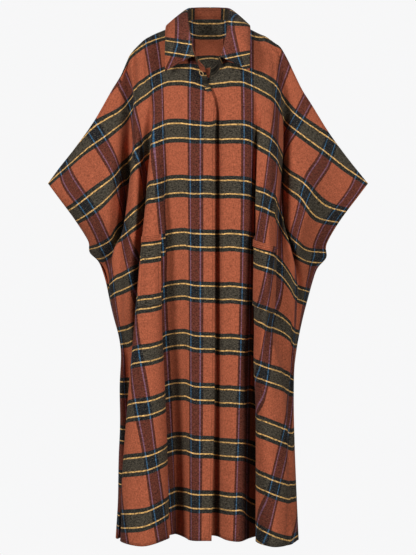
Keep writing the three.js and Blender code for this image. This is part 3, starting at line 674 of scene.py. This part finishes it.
def new_piece(name, mesh):
    """A smooth object at the origin that holds a mesh."""
    mesh.polygons.foreach_set("use_smooth", [True] * len(mesh.polygons))
    mesh.update()
    piece = bpy.data.objects.new(name, mesh)
    bpy.context.scene.collection.objects.link(piece)
    return piece


def finish_piece(piece, node, material):
    """Puts the finish on a piece of cloth and lets it stand for its solid."""
    piece.data.materials.append(material)
    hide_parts(node)
    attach(piece, "root")


def on_cloth(s, t, stripe_at):
    """Where a point of a cut piece lies on the woven pattern, in metres: across, then down."""
    return (s - stripe_at) * UNIT, t * UNIT


def panel_cloth(panel, c, v):
    """A panel as sewn, with its creases: its points, across and down the cut, and its normals."""
    p, s, t = hang(panel, c, v)
    p = pushed(panel, p, s, t)
    lift = normals_of(p, 1) if panel == "back" else sight(p)
    height, tucked = crease_shape(panel, s, t)
    p = p + lift * height
    p[..., 0] += tucked
    return p, s, t, normals_of(p, PANELS[panel]["turn"])


def nape_bow(s, t):
    """The weave is eased up over the upper back, so its bands bow there, in drawing units."""
    rise = eased(np.clip((t - BOW["from"]) / BOW["over"], 0, 1))
    ease = eased(np.clip((BOW["gone"] - t) / BOW["fade"], 0, 1))
    slope = np.clip(BOW["slope"] * (t - BOW["slope_from"]), 0, BOW["slope_most"])
    lift = BOW["seam"] + slope + BOW["lift"] * rise
    return lift * np.exp(-((s / BOW["half"]) ** 2)) * ease


def make_panel(panel, sizes, material):
    """Cuts a front or the back, hangs it in its folds and gives it its finish."""
    made = PANELS[panel]
    step = sizes.square / UNIT
    c, v = fine_columns(made["folds"], step), fine_rows(step)
    p, s, t, _ = panel_cloth(panel, c, v)
    if panel == "back":
        sew_to_fronts(p, c, v)
        t = t + nape_bow(s, t)
    u, w = on_cloth(s, t, STRIPE_AT[panel])
    piece = cloth_mesh("cloth_" + panel, p, u, w, made["turn"], sizes.wall, panel_rim(s, t))
    finish_piece(piece, panel, material)


def panel_rim(s, t):
    """Distance of each point of a panel from its hem, cuff, front edge, shoulder or side seam."""
    from_hem = t[:, -1:] - t
    from_top = t - t[:, :1]
    from_ends = np.minimum(s - s[:1], s[-1:] - s)
    return np.minimum(np.minimum(from_hem, from_top), from_ends) * UNIT


def sew_to_fronts(p, c, v):
    """The back takes its shoulder and side edges from the fronts it is sewn to."""
    apart = np.array([0, SEAM_GAP, 0])
    below_cuff = v >= SIDE_SEAM_FROM
    for front, at_start in (("front_right", True), ("front_left", False)):
        folds = PANELS[front]["folds"]
        over = fine_columns_from(folds, c, at_start)
        shoulder, _, _, _ = panel_cloth(front, over, v[:2])
        side, _, _, _ = panel_cloth(front, np.array([len(folds) - 2.0, len(folds) - 1.0]), v)
        where = slice(0, len(over)) if at_start else slice(len(c) - len(over), len(c))
        p[where, 0] = (shoulder[::-1, 0] if at_start else shoulder[:, 0]) + apart
        p[0 if at_start else -1, below_cuff] = side[-1, below_cuff] + apart


def fine_columns_from(folds, c, at_start):
    """The fold numbers of a front that lie over the back's columns c, from the neck out."""
    last = len(folds) - 1
    reach = last - NECK_ROW
    if at_start:
        return (last - c[c <= reach + 1e-9])[::-1]
    top = c[-1]
    return NECK_ROW + (c[c >= top - reach - 1e-9] - (top - reach))


def patch(node, panel, place_on, squares, lift, wall, shift, material, rows=None):
    """A piece that lies on a panel, made from the panel's own points moved out by lift.

    place_on holds its range of fold numbers and of stations, and shift how far its weave is moved.
    rows gives its stitch rows where they don't follow its sides and bottom.
    """
    c = np.linspace(*place_on["c"], squares[0] + 1)
    v = np.linspace(*place_on["v"], squares[1] + 1)
    p, s, t, n = panel_cloth(panel, c, v)
    q = np.linspace(0, 1, len(c))[:, None]
    r = np.linspace(0, 1, len(v))[None, :]
    p = p + n * lift(q, r)[..., None]
    u, w = on_cloth(s - shift[0], t - shift[1], STRIPE_AT[panel])
    wide, long = cut_size(s, t)
    rim = np.minimum(np.minimum(q, 1 - q) * wide, (1 - r) * long) if rows is None else rows(r, long) + 0 * q
    piece = cloth_mesh("cloth_" + node, p, u, w, PANELS[panel]["turn"], wall, rim)
    finish_piece(piece, node, material)


def cut_size(s, t):
    """Mean width and length of a cut piece laid flat, in metres."""
    wide = np.hypot(np.diff(s, axis=0), np.diff(t, axis=0)).sum(axis=0).mean()
    long = np.hypot(np.diff(s, axis=1), np.diff(t, axis=1)).sum(axis=1).mean()
    return (round(wide * UNIT, 4), round(long * UNIT, 4))


def neck_edge(per_fold):
    """The neck edge of the three panels, from the right front's edge round to the left's."""
    top = np.array([0.0, 0.01])
    right, _, _, _ = panel_cloth("front_right", np.linspace(0, NECK_ROW, NECK_ROW * per_fold + 1), top)
    left, _, _, _ = panel_cloth("front_left", np.linspace(NECK_ROW, 0, NECK_ROW * per_fold + 1), top)
    span = 2 * len(NAPE)
    start = (len(PANELS["back"]["folds"]) - 1 - span) / 2
    nape, _, _, _ = panel_cloth("back", np.linspace(start, start + span, span * per_fold + 1), top)
    return np.concatenate([right[:, 0], nape[1:-1, 0], left[:, 0]])


def along_edge(line, middle):
    """Distance along a row of points, in metres, counted from the point numbered middle."""
    step = np.linalg.norm(np.diff(line, axis=0), axis=-1)
    run = np.concatenate([[0], np.cumsum(step)])
    return run - run[middle]


def drawn(p):
    """Where a point shows in the front drawing: x to the right, y down."""
    k = (VIEW_DISTANCE * MM + p[..., 1]) / (VIEW_DISTANCE * MM)
    x = p[..., 0] / (UNIT * k) + MID_X
    y = EYE - (p[..., 2] - UNIT * (NECK_Y - EYE)) / (UNIT * k)
    return x, y


def past_row(c, start, over):
    """How far each row of the collar is past start, from 0 to 1 within so many rows."""
    return np.clip((c - start) / over, 0, 1)[:, None]


def stand_pattern(p, c, across, along):
    """Where the stand lies on the woven pattern. Its two ends come from other places of the pattern."""
    u = STAND_WEAVE["across"] + across
    v = (along * STAND_WEAVE["stretch"] + STAND_WEAVE["down"])[:, None] + 0 * across
    end = past_row(c, RIGHT_END["row"], -RIGHT_END["over"])
    u = u * (1 - end) + end * RIGHT_END["across"]
    v = v * (1 - end) + end * (drawn(p)[1] - RIGHT_END["level"]) * UNIT * RIGHT_END["stretch"]
    v = v + LEFT_SLIP["by"] * eased(past_row(c, LEFT_SLIP["row"], LEFT_SLIP["over"]))
    for row, down in LEFT_END:
        end = past_row(c, row, LEFT_END_OVER)
        v = v * (1 - end) + end * (down + LEFT_END_LEAN * across)
    return u, v


def flap_pattern(flap, x, y):
    """Where a front flap of the leaf lies on the woven pattern, in drawing units: across, then down."""
    stripe = np.interp(y, flap["stripe_y"], flap["stripe_x"])
    slope = np.interp(y, FLAP_SLOPE_Y, flap["slope"])
    at_x, at_y = flap["band_at"]
    return (x - stripe) * flap["widen"], (y - at_y - slope * (x - at_x)) * FLAP_LENGTHEN


def leaf_pattern(p, c, across, along):
    """Where the collar leaf lies on the woven pattern. Each front flap keeps its own straight grain."""
    x, y = drawn(p)
    u, v = across / UNIT - LEAF_STRIPE, np.abs(along) / UNIT
    away = np.abs(c - COLLAR_MIDDLE)
    middle = int(np.argmin(away))
    for flap, side in ((FLAPS["right"], slice(0, middle)), (FLAPS["left"], slice(middle, None))):
        flap_u, flap_v = flap_pattern(flap, x[side], y[side])
        hold = past_row(away[side], FLAP_FROM, FLAP_OVER)
        join = np.argmin(np.abs(away[side] - FLAP_FROM - FLAP_OVER / 2))
        start = flap_v[join].mean() - v[side][join].mean()
        u[side] = u[side] * (1 - hold) + flap_u * hold
        v[side] = (v[side] + start) * (1 - hold) + flap_v * hold
    return u * UNIT, v * UNIT


def make_collar(sizes, material, shaded_stand_cloth):
    """The stand round the neck and the pointed leaf that turns down over it."""
    seam = neck_edge(COLLAR_SQUARES)
    c = np.linspace(0, len(COLLAR) - 1, len(seam))
    top = between_rows(np.array([place(*row[0]) for row in COLLAR]), c)
    p = stand_shape(seam, top, c)
    across = np.linalg.norm(p - p[:, :1], axis=-1)
    u, v = stand_pattern(p, c, across, along_edge(top, COLLAR_MIDDLE * COLLAR_SQUARES))
    rim = np.minimum(across, across[:, -1:] - across)
    stand = cloth_mesh("cloth_collar_stand", p, u, v, 1, sizes.collar_wall, rim)
    # The stand takes the plaid darkened as painted shade.
    finish_piece(stand, "collar_stand", shaded_stand_cloth)
    sewn = slice(LEAF_FROM * COLLAR_SQUARES, LEAF_TO * COLLAR_SQUARES + 1)
    p = leaf_shape(p[sewn], normals_of(p, 1)[sewn, 0], c[sewn], sizes.collar_wall)
    step = np.linalg.norm(np.diff(p, axis=1), axis=-1)
    across = np.concatenate([np.zeros((len(step), 1)), np.cumsum(step, axis=1)], axis=1)
    middle = (COLLAR_MIDDLE - LEAF_FROM) * COLLAR_SQUARES
    along = along_edge(p[:, LEAF_ROWS // 2], middle)[:, None] + 0 * across
    u, v = leaf_pattern(p, c[sewn], across, along)
    from_ends = np.minimum(along - along[:1], along[-1:] - along)
    rim = np.minimum(across[:, -1:] - across, from_ends)
    leaf = cloth_mesh("cloth_collar_fall", p, u, v, 1, sizes.collar_wall, rim)
    finish_piece(leaf, "collar_fall", material)


def stand_shape(seam, top, c):
    """The stand from its top edge down to just above the neck seam, higher where the shoulders meet it."""
    up = unit(top - seam)
    near_shoulder = np.min([np.abs(c - row) for row in SHOULDER_ROWS], axis=0) < SHOULDER_REACH
    foot = seam + up * np.where(near_shoulder, SHOULDER_CLEAR, FOOT_CLEAR)[:, None] * MM
    f = np.linspace(0, 1, STAND_ROWS)
    return top[:, None] * (1 - f)[:, None] + foot[:, None] * f[:, None]


def leaf_shape(stand, out, c, wall):
    """The leaf rises from the stand's top edge, rolls over it and runs down to its free edge."""
    edges = np.array([place(*row[1]) for row in COLLAR[LEAF_FROM:LEAF_TO + 1]])
    edge = between_rows(edges, c - LEAF_FROM)
    rise = unit(stand[:, 0] - stand[:, 1])

    def moved(p, by):
        return p + out * by[0] * MM + rise * by[1] * MM

    start = moved(stand[:, 0] + out * wall, LEAF_START)
    over = moved(start, LEAF_ROLL)
    down = moved(start * (1 - LEAF_SHARE) + edge * LEAF_SHARE, LEAF_FALL)
    g = (np.linspace(0, 1, LEAF_ROWS) ** LEAF_CROWD)[None, :, None]
    return (
        (1 - g) ** 3 * start[:, None]
        + 3 * (1 - g) ** 2 * g * over[:, None]
        + 3 * (1 - g) * g * g * down[:, None]
        + g ** 3 * edge[:, None]
    )


def make_buttonhole(finish):
    """The thread worked round the buttonhole in the stand's right end."""
    ring = bmesh.new()
    bmesh.ops.create_circle(ring, segments=8, radius=THREAD)
    bmesh.ops.translate(ring, verts=ring.verts, vec=(BUTTONHOLE, 0, 0))
    bmesh.ops.spin(ring, geom=ring.verts[:] + ring.edges[:], cent=(0, 0, 0), axis=(0, 1, 0),
                   angle=2 * math.pi, steps=24, use_merge=True)
    bmesh.ops.recalc_face_normals(ring, faces=ring.faces)
    bmesh.ops.scale(ring, verts=ring.verts, vec=BUTTONHOLE_SHAPE)
    turned = Matrix.Rotation(BUTTONHOLE_TURN, 3, "Y")
    bmesh.ops.rotate(ring, verts=ring.verts, cent=(0, 0, 0), matrix=turned)
    bmesh.ops.translate(ring, verts=ring.verts, vec=place(*BUTTONHOLE_AT))
    mesh = bpy.data.meshes.new("buttonhole_thread")
    ring.to_mesh(mesh)
    ring.free()
    mesh.materials.append(finish)
    piece = new_piece("buttonhole_thread", mesh)
    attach(piece, "root")


def make_fly(sizes, material):
    """The strip that lies behind the right front's edge and hides the buttons."""
    behind = -(sizes.wall / 2 + sizes.thin_wall / 2 + LAID_GAP)

    def lift(q, r):
        return behind + 0 * q * r

    patch("fly_placket", "front_right", FLY, FLY_SQUARES, lift, sizes.thin_wall, (0, 0), material)


def gape(q, r):
    """The mouth of a pocket stands off the coat a little, most at its middle."""
    return POCKET_GAPE * np.maximum(0, 1 - r * 2.5) * np.sin(np.pi * q)


def turned_edge(q, r):
    """The cloth is doubled where a pocket's sides and bottom are turned in."""
    return TURNED_EDGE * (np.exp(-q / 0.05) + np.exp((q - 1) / 0.05) + np.exp((r - 1) / 0.04))


def band_rows(r):
    """Stitch rows press shallow lines into a pocket band."""
    return -BAND_PRESS * sum(np.exp(-(((r - at) / 0.06) ** 2)) for at in BAND_ROWS)


def make_pockets(sizes, material):
    """Each patch pocket with the turned and stitched band across its mouth."""
    seat = sizes.wall / 2 + sizes.thin_wall / 2 + LAID_GAP

    def on_coat(q, r):
        return seat + gape(q, r) + turned_edge(q, r)

    def on_pocket(q, r):
        return on_coat(q, 0) + sizes.thin_wall + BAND_GAP + band_rows(r)

    def band_stitches(r, long):
        return sizes.seam + long * np.abs(r - BAND_ROWS[:, None, None]).min(axis=0)

    for side, pocket in POCKETS.items():
        panel, (first, last), top = "front_" + side, pocket["c"], pocket["v"][0]
        patch("pocket_" + side, panel, pocket, POCKET_SQUARES, on_coat, sizes.thin_wall, pocket["shift"],
              material)
        mouth = {"c": (first + BAND_INSET, last - BAND_INSET), "v": (top, top + BAND_TALL)}
        patch("pocket_band_" + side, panel, mouth, BAND_SQUARES, on_pocket, sizes.thin_wall,
              pocket["band_shift"], material, band_stitches)


def srgb(red, green, blue):
    """A colour of 0 to 255 parts as the linear one that a shader takes."""
    def part(v):
        v = v / 255
        return v / 12.92 if v <= 0.04045 else ((v + 0.055) / 1.055) ** 2.4
    return (part(red), part(green), part(blue), 1)


class Weave:
    """Builds a material's nodes one after another."""

    def __init__(self, name):
        self.material = bpy.data.materials.new(name)
        self.material.use_nodes = True
        self.tree = self.material.node_tree
        self.shader = self.tree.nodes["Principled BSDF"]
        self.column = 0

    def node(self, kind, **inputs):
        """A new node with its inputs filled."""
        made = self.tree.nodes.new(kind)
        made.location = (-1800 + 40 * self.column, 300 - 60 * (self.column % 12))
        self.column += 1
        for key, value in inputs.items():
            self.feed(made, key, value)
        return made

    def feed(self, made, key, value):
        """Fills an input, known by its name or by i and its number, with a value or another node's output."""
        socket = made.inputs[int(key[1:])] if key[0] == "i" and key[1:].isdigit() else made.inputs[key]
        if isinstance(value, bpy.types.NodeSocket):
            self.tree.links.new(value, socket)
        else:
            socket.default_value = value

    def math(self, operation, a, b=0.0, c=0.0):
        made = self.node("ShaderNodeMath", i0=a, i1=b, i2=c)
        made.operation = operation
        return made.outputs[0]

    def vector(self, operation, a, b):
        made = self.node("ShaderNodeVectorMath", i0=a, i1=b)
        made.operation = operation
        return made.outputs[0]

    def scaled(self, a, by):
        """A vector or a colour times a number."""
        made = self.node("ShaderNodeVectorMath", i0=a)
        made.operation = "SCALE"
        self.feed(made, "Scale", by)
        return made.outputs[0]

    def mix(self, share, a, b):
        """Colour a where share is 0 and colour b where it is 1."""
        made = self.node("ShaderNodeMix")
        made.data_type = "RGBA"
        for key, value in (("Factor", share), ("A", a), ("B", b)):
            self.feed(made, key, value)
        return made.outputs["Result"]

    def noise(self, vector, scale, detail):
        return self.node("ShaderNodeTexNoise", Vector=vector, Scale=scale, Detail=detail).outputs["Fac"]

    def within(self, distance, half, soft):
        """1 where distance is less than half, fading over soft."""
        made = self.node("ShaderNodeMapRange")
        made.interpolation_type = "SMOOTHSTEP"
        for key, value in zip(("Value", "From Min", "From Max", "To Min", "To Max"),
                              (distance, half + soft / 2, half - soft / 2, 0.0, 1.0)):
            self.feed(made, key, value)
        return made.outputs[0]

    def line_at(self, distance, at, half, soft):
        """1 where distance is within half of at, fading over soft."""
        return self.within(self.math("ABSOLUTE", self.math("SUBTRACT", distance, at)), half, soft)

    def uv_map(self, name):
        made = self.node("ShaderNodeUVMap")
        made.uv_map = name
        return made.outputs[0]

    def split(self, vector):
        """The first two parts of a vector."""
        made = self.node("ShaderNodeSeparateXYZ", Vector=vector)
        return made.outputs[0], made.outputs[1]

    def finished(self, tone, roughness, height=None, strength=0.0, distance=0.0):
        """Gives the shader its colour, roughness and relief."""
        self.feed(self.shader, "Base Color", tone)
        self.feed(self.shader, "Roughness", roughness)
        if height is not None:
            bump = self.node("ShaderNodeBump", Strength=strength, Distance=distance, Height=height)
            self.feed(self.shader, "Normal", bump.outputs[0])
        return self.material


def check_colour(weave, sizes, colours, across, down):
    """A generic window check: its colour, and how much of it is dark band and upright stripe."""
    from_stripe = weave.math("PINGPONG", across, sizes.warp_repeat / 2)
    from_band = weave.math("PINGPONG", weave.math("ADD", down, sizes.window / 2), sizes.weft_repeat / 2)
    stripe = weave.within(from_stripe, sizes.stripe / 2, YARN_EDGE)
    stripe_core = weave.within(from_stripe, sizes.pin_gap / 2, YARN_EDGE)
    band = weave.within(from_band, sizes.band / 2, YARN_EDGE)
    band_core = weave.within(from_band, sizes.window / 2, YARN_EDGE)
    pin = weave.line_at(from_stripe, sizes.pin_gap / 2, sizes.pin / 2, LINE_EDGE)
    line = weave.line_at(from_band, sizes.window / 2, sizes.line / 2, LINE_EDGE)
    upright = weave.mix(stripe_core, colours.stripe_edge, colours.maroon)
    olive = weave.mix(band_core, colours.band_edge, colours.olive)
    ground = weave.mix(stripe, colours.rust, upright)
    cloth = weave.mix(band, ground, weave.mix(stripe, olive, colours.navy))
    pinned = weave.mix(band, colours.lavender, colours.blue)
    cloth = weave.mix(weave.math("MULTIPLY", pin, SHOWS["pin"]), cloth, pinned)
    bright = weave.mix(weave.math("MULTIPLY", pin, SHOWS["pin_on_line"]), colours.yellow, CROSSING)
    return weave.mix(weave.math("MULTIPLY", line, SHOWS["line"]), cloth, bright), band, stripe


def heather(weave, laid, tone, dark_yarn):
    """Lighter and darker fibres along both yarns, with flecks and clouds: the tone, and each grain."""
    grains = {}
    for name, (stretch, scale, detail, much, more) in GRAINS.items():
        drawn_out = weave.node("ShaderNodeMapping", Vector=laid, Scale=stretch).outputs[0]
        grains[name] = weave.noise(drawn_out, scale, detail)
        swing = weave.math("MULTIPLY_ADD", dark_yarn, more, much)
        lighter = weave.math("SUBTRACT", grains[name], 0.5)
        tone = weave.math("ADD", tone, weave.math("MULTIPLY", lighter, swing))
    return tone, grains


def pale_fibres(weave, colours, laid, cloth, dark_yarn):
    """Pale fibres stand out of the dark yarns."""
    noise = weave.noise(laid, FIBRES["scale"], 0.0)
    fibres = weave.within(weave.math("SUBTRACT", 1.0, noise), FIBRES["part"], FIBRES["soft"])
    show = weave.math("MULTIPLY", weave.math("MULTIPLY", fibres, dark_yarn), FIBRES["shows"])
    return weave.mix(show, cloth, colours.fibre)


def wool_plaid(name, sizes, colours, brightness):
    """Brushed wool twill in the window check, with a row of stitches beside every sewn edge."""
    weave = Weave(name)
    laid = weave.uv_map("cloth")
    waver = weave.node("ShaderNodeTexNoise", Vector=laid, Scale=160.0, Detail=1.0).outputs["Color"]
    waver = weave.scaled(weave.vector("SUBTRACT", waver, (0.5, 0.5, 0.5)), WAVER)
    across, down = weave.split(weave.vector("ADD", laid, waver))
    cloth, band, stripe = check_colour(weave, sizes, colours, across, down)
    dark_yarn = weave.math("MAXIMUM", band, weave.math("MULTIPLY", stripe, SHOWS["stripe_grain"]))
    rib = weave.math("ADD", across, down)
    ribs = weave.math("SINE", weave.math("MULTIPLY", rib, 2 * math.pi / sizes.rib))
    tone, grains = heather(weave, laid, weave.math("MULTIPLY_ADD", ribs, SHOWS["rib"], 1.0), dark_yarn)
    row = weave.line_at(weave.split(weave.uv_map("rim"))[0], sizes.seam, STITCH_HALF, STITCH_EDGE)
    dash = weave.within(weave.math("PINGPONG", rib, STITCH_PITCH), STITCH_LONG, STITCH_END)
    stitch = weave.math("MULTIPLY", row, dash)
    # Each stitch row darkens the tone: the stitched line itself, and painted shade of its pressed groove.
    tone = weave.math("MULTIPLY", tone, weave.math("MULTIPLY_ADD", row, SHOWS["row"], 1.0))
    # A brightness under 1 darkens the whole cloth: painted shade, used for the stand.
    tone = weave.math("MULTIPLY", weave.math("MAXIMUM", tone, DARKEST), brightness)
    haired = pale_fibres(weave, colours, laid, weave.scaled(cloth, tone), dark_yarn)
    height = weave.math("MULTIPLY", ribs, RELIEF["ribs"])
    height = weave.math("ADD", height, weave.math("MULTIPLY", grains["flecks"], RELIEF["flecks"]))
    height = weave.math("SUBTRACT", height, weave.math("MULTIPLY", stitch, RELIEF["stitches"]))
    for key, value in (("Specular IOR Level", 0.15), ("Sheen Weight", 0.12), ("Sheen Roughness", 0.45),
                       ("Sheen Tint", (0.85, 0.6, 0.5, 1))):
        weave.feed(weave.shader, key, value)
    return weave.finished(haired, 0.92, height, RELIEF["strength"], RELIEF["height"])


def horn_button(name, colours):
    """Dark polished button with cloudy streaks."""
    weave = Weave(name)
    cloud = weave.noise(weave.node("ShaderNodeTexCoord").outputs["Object"], 180.0, 4.0)
    dark = tuple(colours.button)
    light = tuple(min(1, 2.4 * v) for v in dark[:3]) + (1,)
    return weave.finished(weave.mix(cloud, dark, light), 0.35, cloud, 0.1, 0.0002)


def pale_thread(name, colours):
    """Twisted thread in the cloth's bright yellow."""
    weave = Weave(name)
    twist = weave.noise(weave.node("ShaderNodeTexCoord").outputs["Object"], 900.0, 2.0)
    return weave.finished(weave.mix(twist, colours.fibre, colours.yellow), 0.8)


def length(name, text, default):
    return bpy.props.FloatProperty(name=name, description=text, default=default, min=0, unit="LENGTH",
                                   subtype="DISTANCE", precision=4)


def colour(name, text, default):
    return bpy.props.FloatVectorProperty(name=name, description=text, default=default, size=4, min=0, max=1,
                                         subtype="COLOR")


class CapeSizes(bpy.types.PropertyGroup):
    square: length("Square", "Side of the small squares the cloth is laid out in", 0.0074)
    wall: length("Cloth", "Thickness of the body cloth", 0.0018)
    collar_wall: length("Collar", "Thickness of the faced collar", 0.0018)
    thin_wall: length("Pocket", "Thickness of pockets, bands and placket", 0.0013)
    warp_repeat: length("Stripe repeat", "From one upright stripe to the next", 0.115)
    weft_repeat: length("Band repeat", "From one dark band to the next", 0.13825)
    stripe: length("Stripe", "Width of an upright stripe", 0.0412)
    pin_gap: length("Pin lines", "Between the two fine lines of a stripe", 0.0265)
    pin: length("Pin line", "Width of a fine line", 0.0029)
    band: length("Band", "Height of a dark band", 0.058)
    window: length("Window", "Between the two bright lines of a band", 0.035)
    line: length("Bright line", "Width of a bright line", 0.0034)
    seam: length("Stitch row", "From a sewn edge to its row of stitches", 0.006)
    rib: length("Twill rib", "From one twill rib to the next", 0.0021)


class CapeColours(bpy.types.PropertyGroup):
    rust: colour("Rust", "The ground of the cloth", srgb(180, 97, 68))
    maroon: colour("Maroon", "The upright stripes", srgb(105, 53, 41))
    stripe_edge: colour("Stripe edge", "Outside the fine lines of a stripe", srgb(92, 46, 36))
    olive: colour("Olive", "The middle of a dark band", srgb(68, 63, 54))
    band_edge: colour("Band edge", "The two edges of a dark band", srgb(44, 45, 42))
    navy: colour("Navy", "Where a stripe crosses a band", srgb(31, 33, 37))
    yellow: colour("Yellow", "The bright lines of a band", srgb(238, 186, 112))
    lavender: colour("Lavender", "The fine lines of a stripe", srgb(144, 102, 124))
    blue: colour("Blue", "The fine lines where they cross a band", srgb(60, 110, 146))
    fibre: colour("Fibre", "Pale fibres in the dark yarns", srgb(150, 138, 112))
    button: colour("Button", "The hidden buttons", srgb(52, 36, 28))
    floor: colour("Floor", "Floor and backdrop", (0.93, 0.93, 0.935, 1))


def plaid(context, name="wool_plaid", brightness=1.0):
    """The cloth of that name, woven once and used again."""
    scene = context.scene
    return bpy.data.materials.get(name) or wool_plaid(name, scene.cape_sizes, scene.cape_colours, brightness)


class CapeStep(bpy.types.Operator):
    bl_options = {"REGISTER", "UNDO"}


class CAPE_OT_fronts(CapeStep):
    """Cuts and hangs the two fronts"""
    bl_idname = "cape.fronts"
    bl_label = "Fronts"

    def execute(self, context):
        for panel in ("front_right", "front_left"):
            make_panel(panel, context.scene.cape_sizes, plaid(context))
        return {"FINISHED"}


class CAPE_OT_back(CapeStep):
    """Cuts and hangs the back and sews it to the fronts"""
    bl_idname = "cape.back"
    bl_label = "Back"

    def execute(self, context):
        make_panel("back", context.scene.cape_sizes, plaid(context))
        return {"FINISHED"}


class CAPE_OT_fly(CapeStep):
    """Lays the placket behind the right front's edge"""
    bl_idname = "cape.fly"
    bl_label = "Fly placket"

    def execute(self, context):
        make_fly(context.scene.cape_sizes, plaid(context))
        return {"FINISHED"}


class CAPE_OT_pockets(CapeStep):
    """Lays the patch pockets and their bands on the fronts"""
    bl_idname = "cape.pockets"
    bl_label = "Pockets"

    def execute(self, context):
        make_pockets(context.scene.cape_sizes, plaid(context))
        return {"FINISHED"}


class CAPE_OT_collar(CapeStep):
    """Sets the stand on the neck edge, turns the leaf down over it and works the buttonhole"""
    bl_idname = "cape.collar"
    bl_label = "Collar"

    def execute(self, context):
        # The stand's plaid is darkened as painted shade.
        shaded_stand_cloth = plaid(context, "stand_plaid_painted_shade", STAND_SHADE_BRIGHTNESS)
        make_collar(context.scene.cape_sizes, plaid(context), shaded_stand_cloth)
        make_buttonhole(pale_thread("buttonhole_thread", context.scene.cape_colours))
        return {"FINISHED"}


class CAPE_OT_buttons(CapeStep):
    """Gives the hidden buttons their finish"""
    bl_idname = "cape.buttons"
    bl_label = "Buttons"

    def execute(self, context):
        finish = horn_button("dark_button", context.scene.cape_colours)
        for name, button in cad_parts.items():
            if name.startswith("button_"):
                button.data.materials.clear()
                button.data.materials.append(finish)
        return {"FINISHED"}


class CAPE_OT_stage(CapeStep):
    """Sets the floor, the soft light and the camera"""
    bl_idname = "cape.stage"
    bl_label = "Stage"

    def execute(self, context):
        pale = tuple(context.scene.cape_colours.floor)
        make_floor(context.scene, pale)
        make_backdrop(context.scene, pale)
        make_lamps(context.scene)
        make_camera(context.scene)
        return {"FINISHED"}


def set_lamp(scene, name, kind, power, at, aim, **shape):
    """A lamp that points at aim, with the other values its kind has."""
    lamp = bpy.data.lights.new(name, kind)
    lamp.energy = power
    for key, value in shape.items():
        setattr(lamp, key, value)
    thing = bpy.data.objects.new(name, lamp)
    thing.location = at
    thing.rotation_euler = (Vector(aim) - Vector(at)).to_track_quat("-Z", "Y").to_euler()
    scene.collection.objects.link(thing)


def seen_or_felt(tree, output, seen, felt):
    """The camera sees one shader and the other light meets another."""
    either, path = tree.nodes.new("ShaderNodeMixShader"), tree.nodes.new("ShaderNodeLightPath")
    tree.links.new(path.outputs["Is Camera Ray"], either.inputs["Fac"])
    tree.links.new(felt.outputs[0], either.inputs[1])
    tree.links.new(seen.outputs[0], either.inputs[2])
    tree.links.new(either.outputs[0], tree.nodes[output].inputs["Surface"])


def make_floor(scene, pale):
    """A wide floor that looks as pale as the backdrop and throws little light back on the coat."""
    floor = bmesh.new()
    bmesh.ops.create_grid(floor, x_segments=2, y_segments=2, size=FLOOR_SIZE)
    bmesh.ops.translate(floor, verts=floor.verts, vec=(0, 0, FLOOR_Z))
    mesh = bpy.data.meshes.new("floor")
    floor.to_mesh(mesh)
    floor.free()
    ground = bpy.data.objects.new("floor", mesh)
    scene.collection.objects.link(ground)
    paint = bpy.data.materials.new("pale_floor")
    paint.use_nodes = True
    felt = paint.node_tree.nodes["Principled BSDF"]
    felt.inputs["Base Color"].default_value = (0.05, 0.05, 0.05, 1)
    felt.inputs["Roughness"].default_value = 0.9
    seen = paint.node_tree.nodes.new("ShaderNodeEmission")
    seen.inputs["Color"].default_value = pale
    seen_or_felt(paint.node_tree, "Material Output", seen, felt)
    mesh.materials.append(paint)


def make_backdrop(scene, pale):
    """A backdrop that the camera sees as the floor's colour and the coat feels as faint light all round."""
    scene.world = bpy.data.worlds.new("studio")
    scene.world.use_nodes = True
    sky = scene.world.node_tree
    seen = sky.nodes["Background"]
    seen.inputs["Color"].default_value = pale
    felt = sky.nodes.new("ShaderNodeBackground")
    felt.inputs["Strength"].default_value = SKY_LIGHT
    seen_or_felt(sky, "World Output", seen, felt)


def make_lamps(scene):
    """Two soft lamps in front of the coat and a narrow one into its neck."""
    for name, power, at in SOFT_LAMPS:
        set_lamp(scene, name, "AREA", power, at, LAMPS_AIM, size=LAMP_SIZE)
    set_lamp(scene, "neck", "SPOT", NECK_LAMP["power"], NECK_LAMP["at"], NECK_LAMP["aim"],
             spot_size=math.radians(NECK_LAMP["angle"]), spot_blend=1, shadow_soft_size=NECK_LAMP["soft"])


def make_camera(scene):
    """The camera sees the coat as the front drawing does, in plain colours."""
    lens = bpy.data.cameras.new("camera")
    lens.sensor_width = 36
    lens.lens = lens.sensor_width * VIEW_DISTANCE * MM / (DRAWING[1] * UNIT)
    lens.clip_end = 60
    camera = bpy.data.objects.new("camera", lens)
    camera.location = (UNIT * (DRAWING[0] / 2 - MID_X), -VIEW_DISTANCE * MM, UNIT * (NECK_Y - EYE))
    camera.rotation_euler = (math.pi / 2, 0, 0)
    scene.collection.objects.link(camera)
    scene.camera = camera
    scene.view_settings.view_transform = "Standard"


STEPS = (CAPE_OT_fronts, CAPE_OT_back, CAPE_OT_fly, CAPE_OT_pockets, CAPE_OT_collar, CAPE_OT_buttons,
         CAPE_OT_stage)


class CAPE_PT_steps(bpy.types.Panel):
    """The steps that make the coat, in order"""
    bl_idname = "CAPE_PT_steps"
    bl_label = "Plaid cape coat"
    bl_space_type = "VIEW_3D"
    bl_region_type = "UI"
    bl_category = "Cape"

    def draw(self, context):
        for step in STEPS:
            self.layout.operator(step.bl_idname)
        for group in (context.scene.cape_sizes, context.scene.cape_colours):
            box = self.layout.box()
            for key in group.__annotations__:
                box.prop(group, key)


CLASSES = (CapeSizes, CapeColours) + STEPS + (CAPE_PT_steps,)


def register():
    for each in CLASSES:
        bpy.utils.register_class(each)
    bpy.types.Scene.cape_sizes = bpy.props.PointerProperty(type=CapeSizes)
    bpy.types.Scene.cape_colours = bpy.props.PointerProperty(type=CapeColours)


def unregister():
    del bpy.types.Scene.cape_colours
    del bpy.types.Scene.cape_sizes
    for each in reversed(CLASSES):
        bpy.utils.unregister_class(each)


def main():
    register()
    for step in STEPS:
        made = getattr(bpy.ops.cape, step.bl_idname.split(".")[1])()
        if made != {"FINISHED"}:
            raise RuntimeError(step.bl_label + " did not finish")


if __name__ == "__main__":
    main()
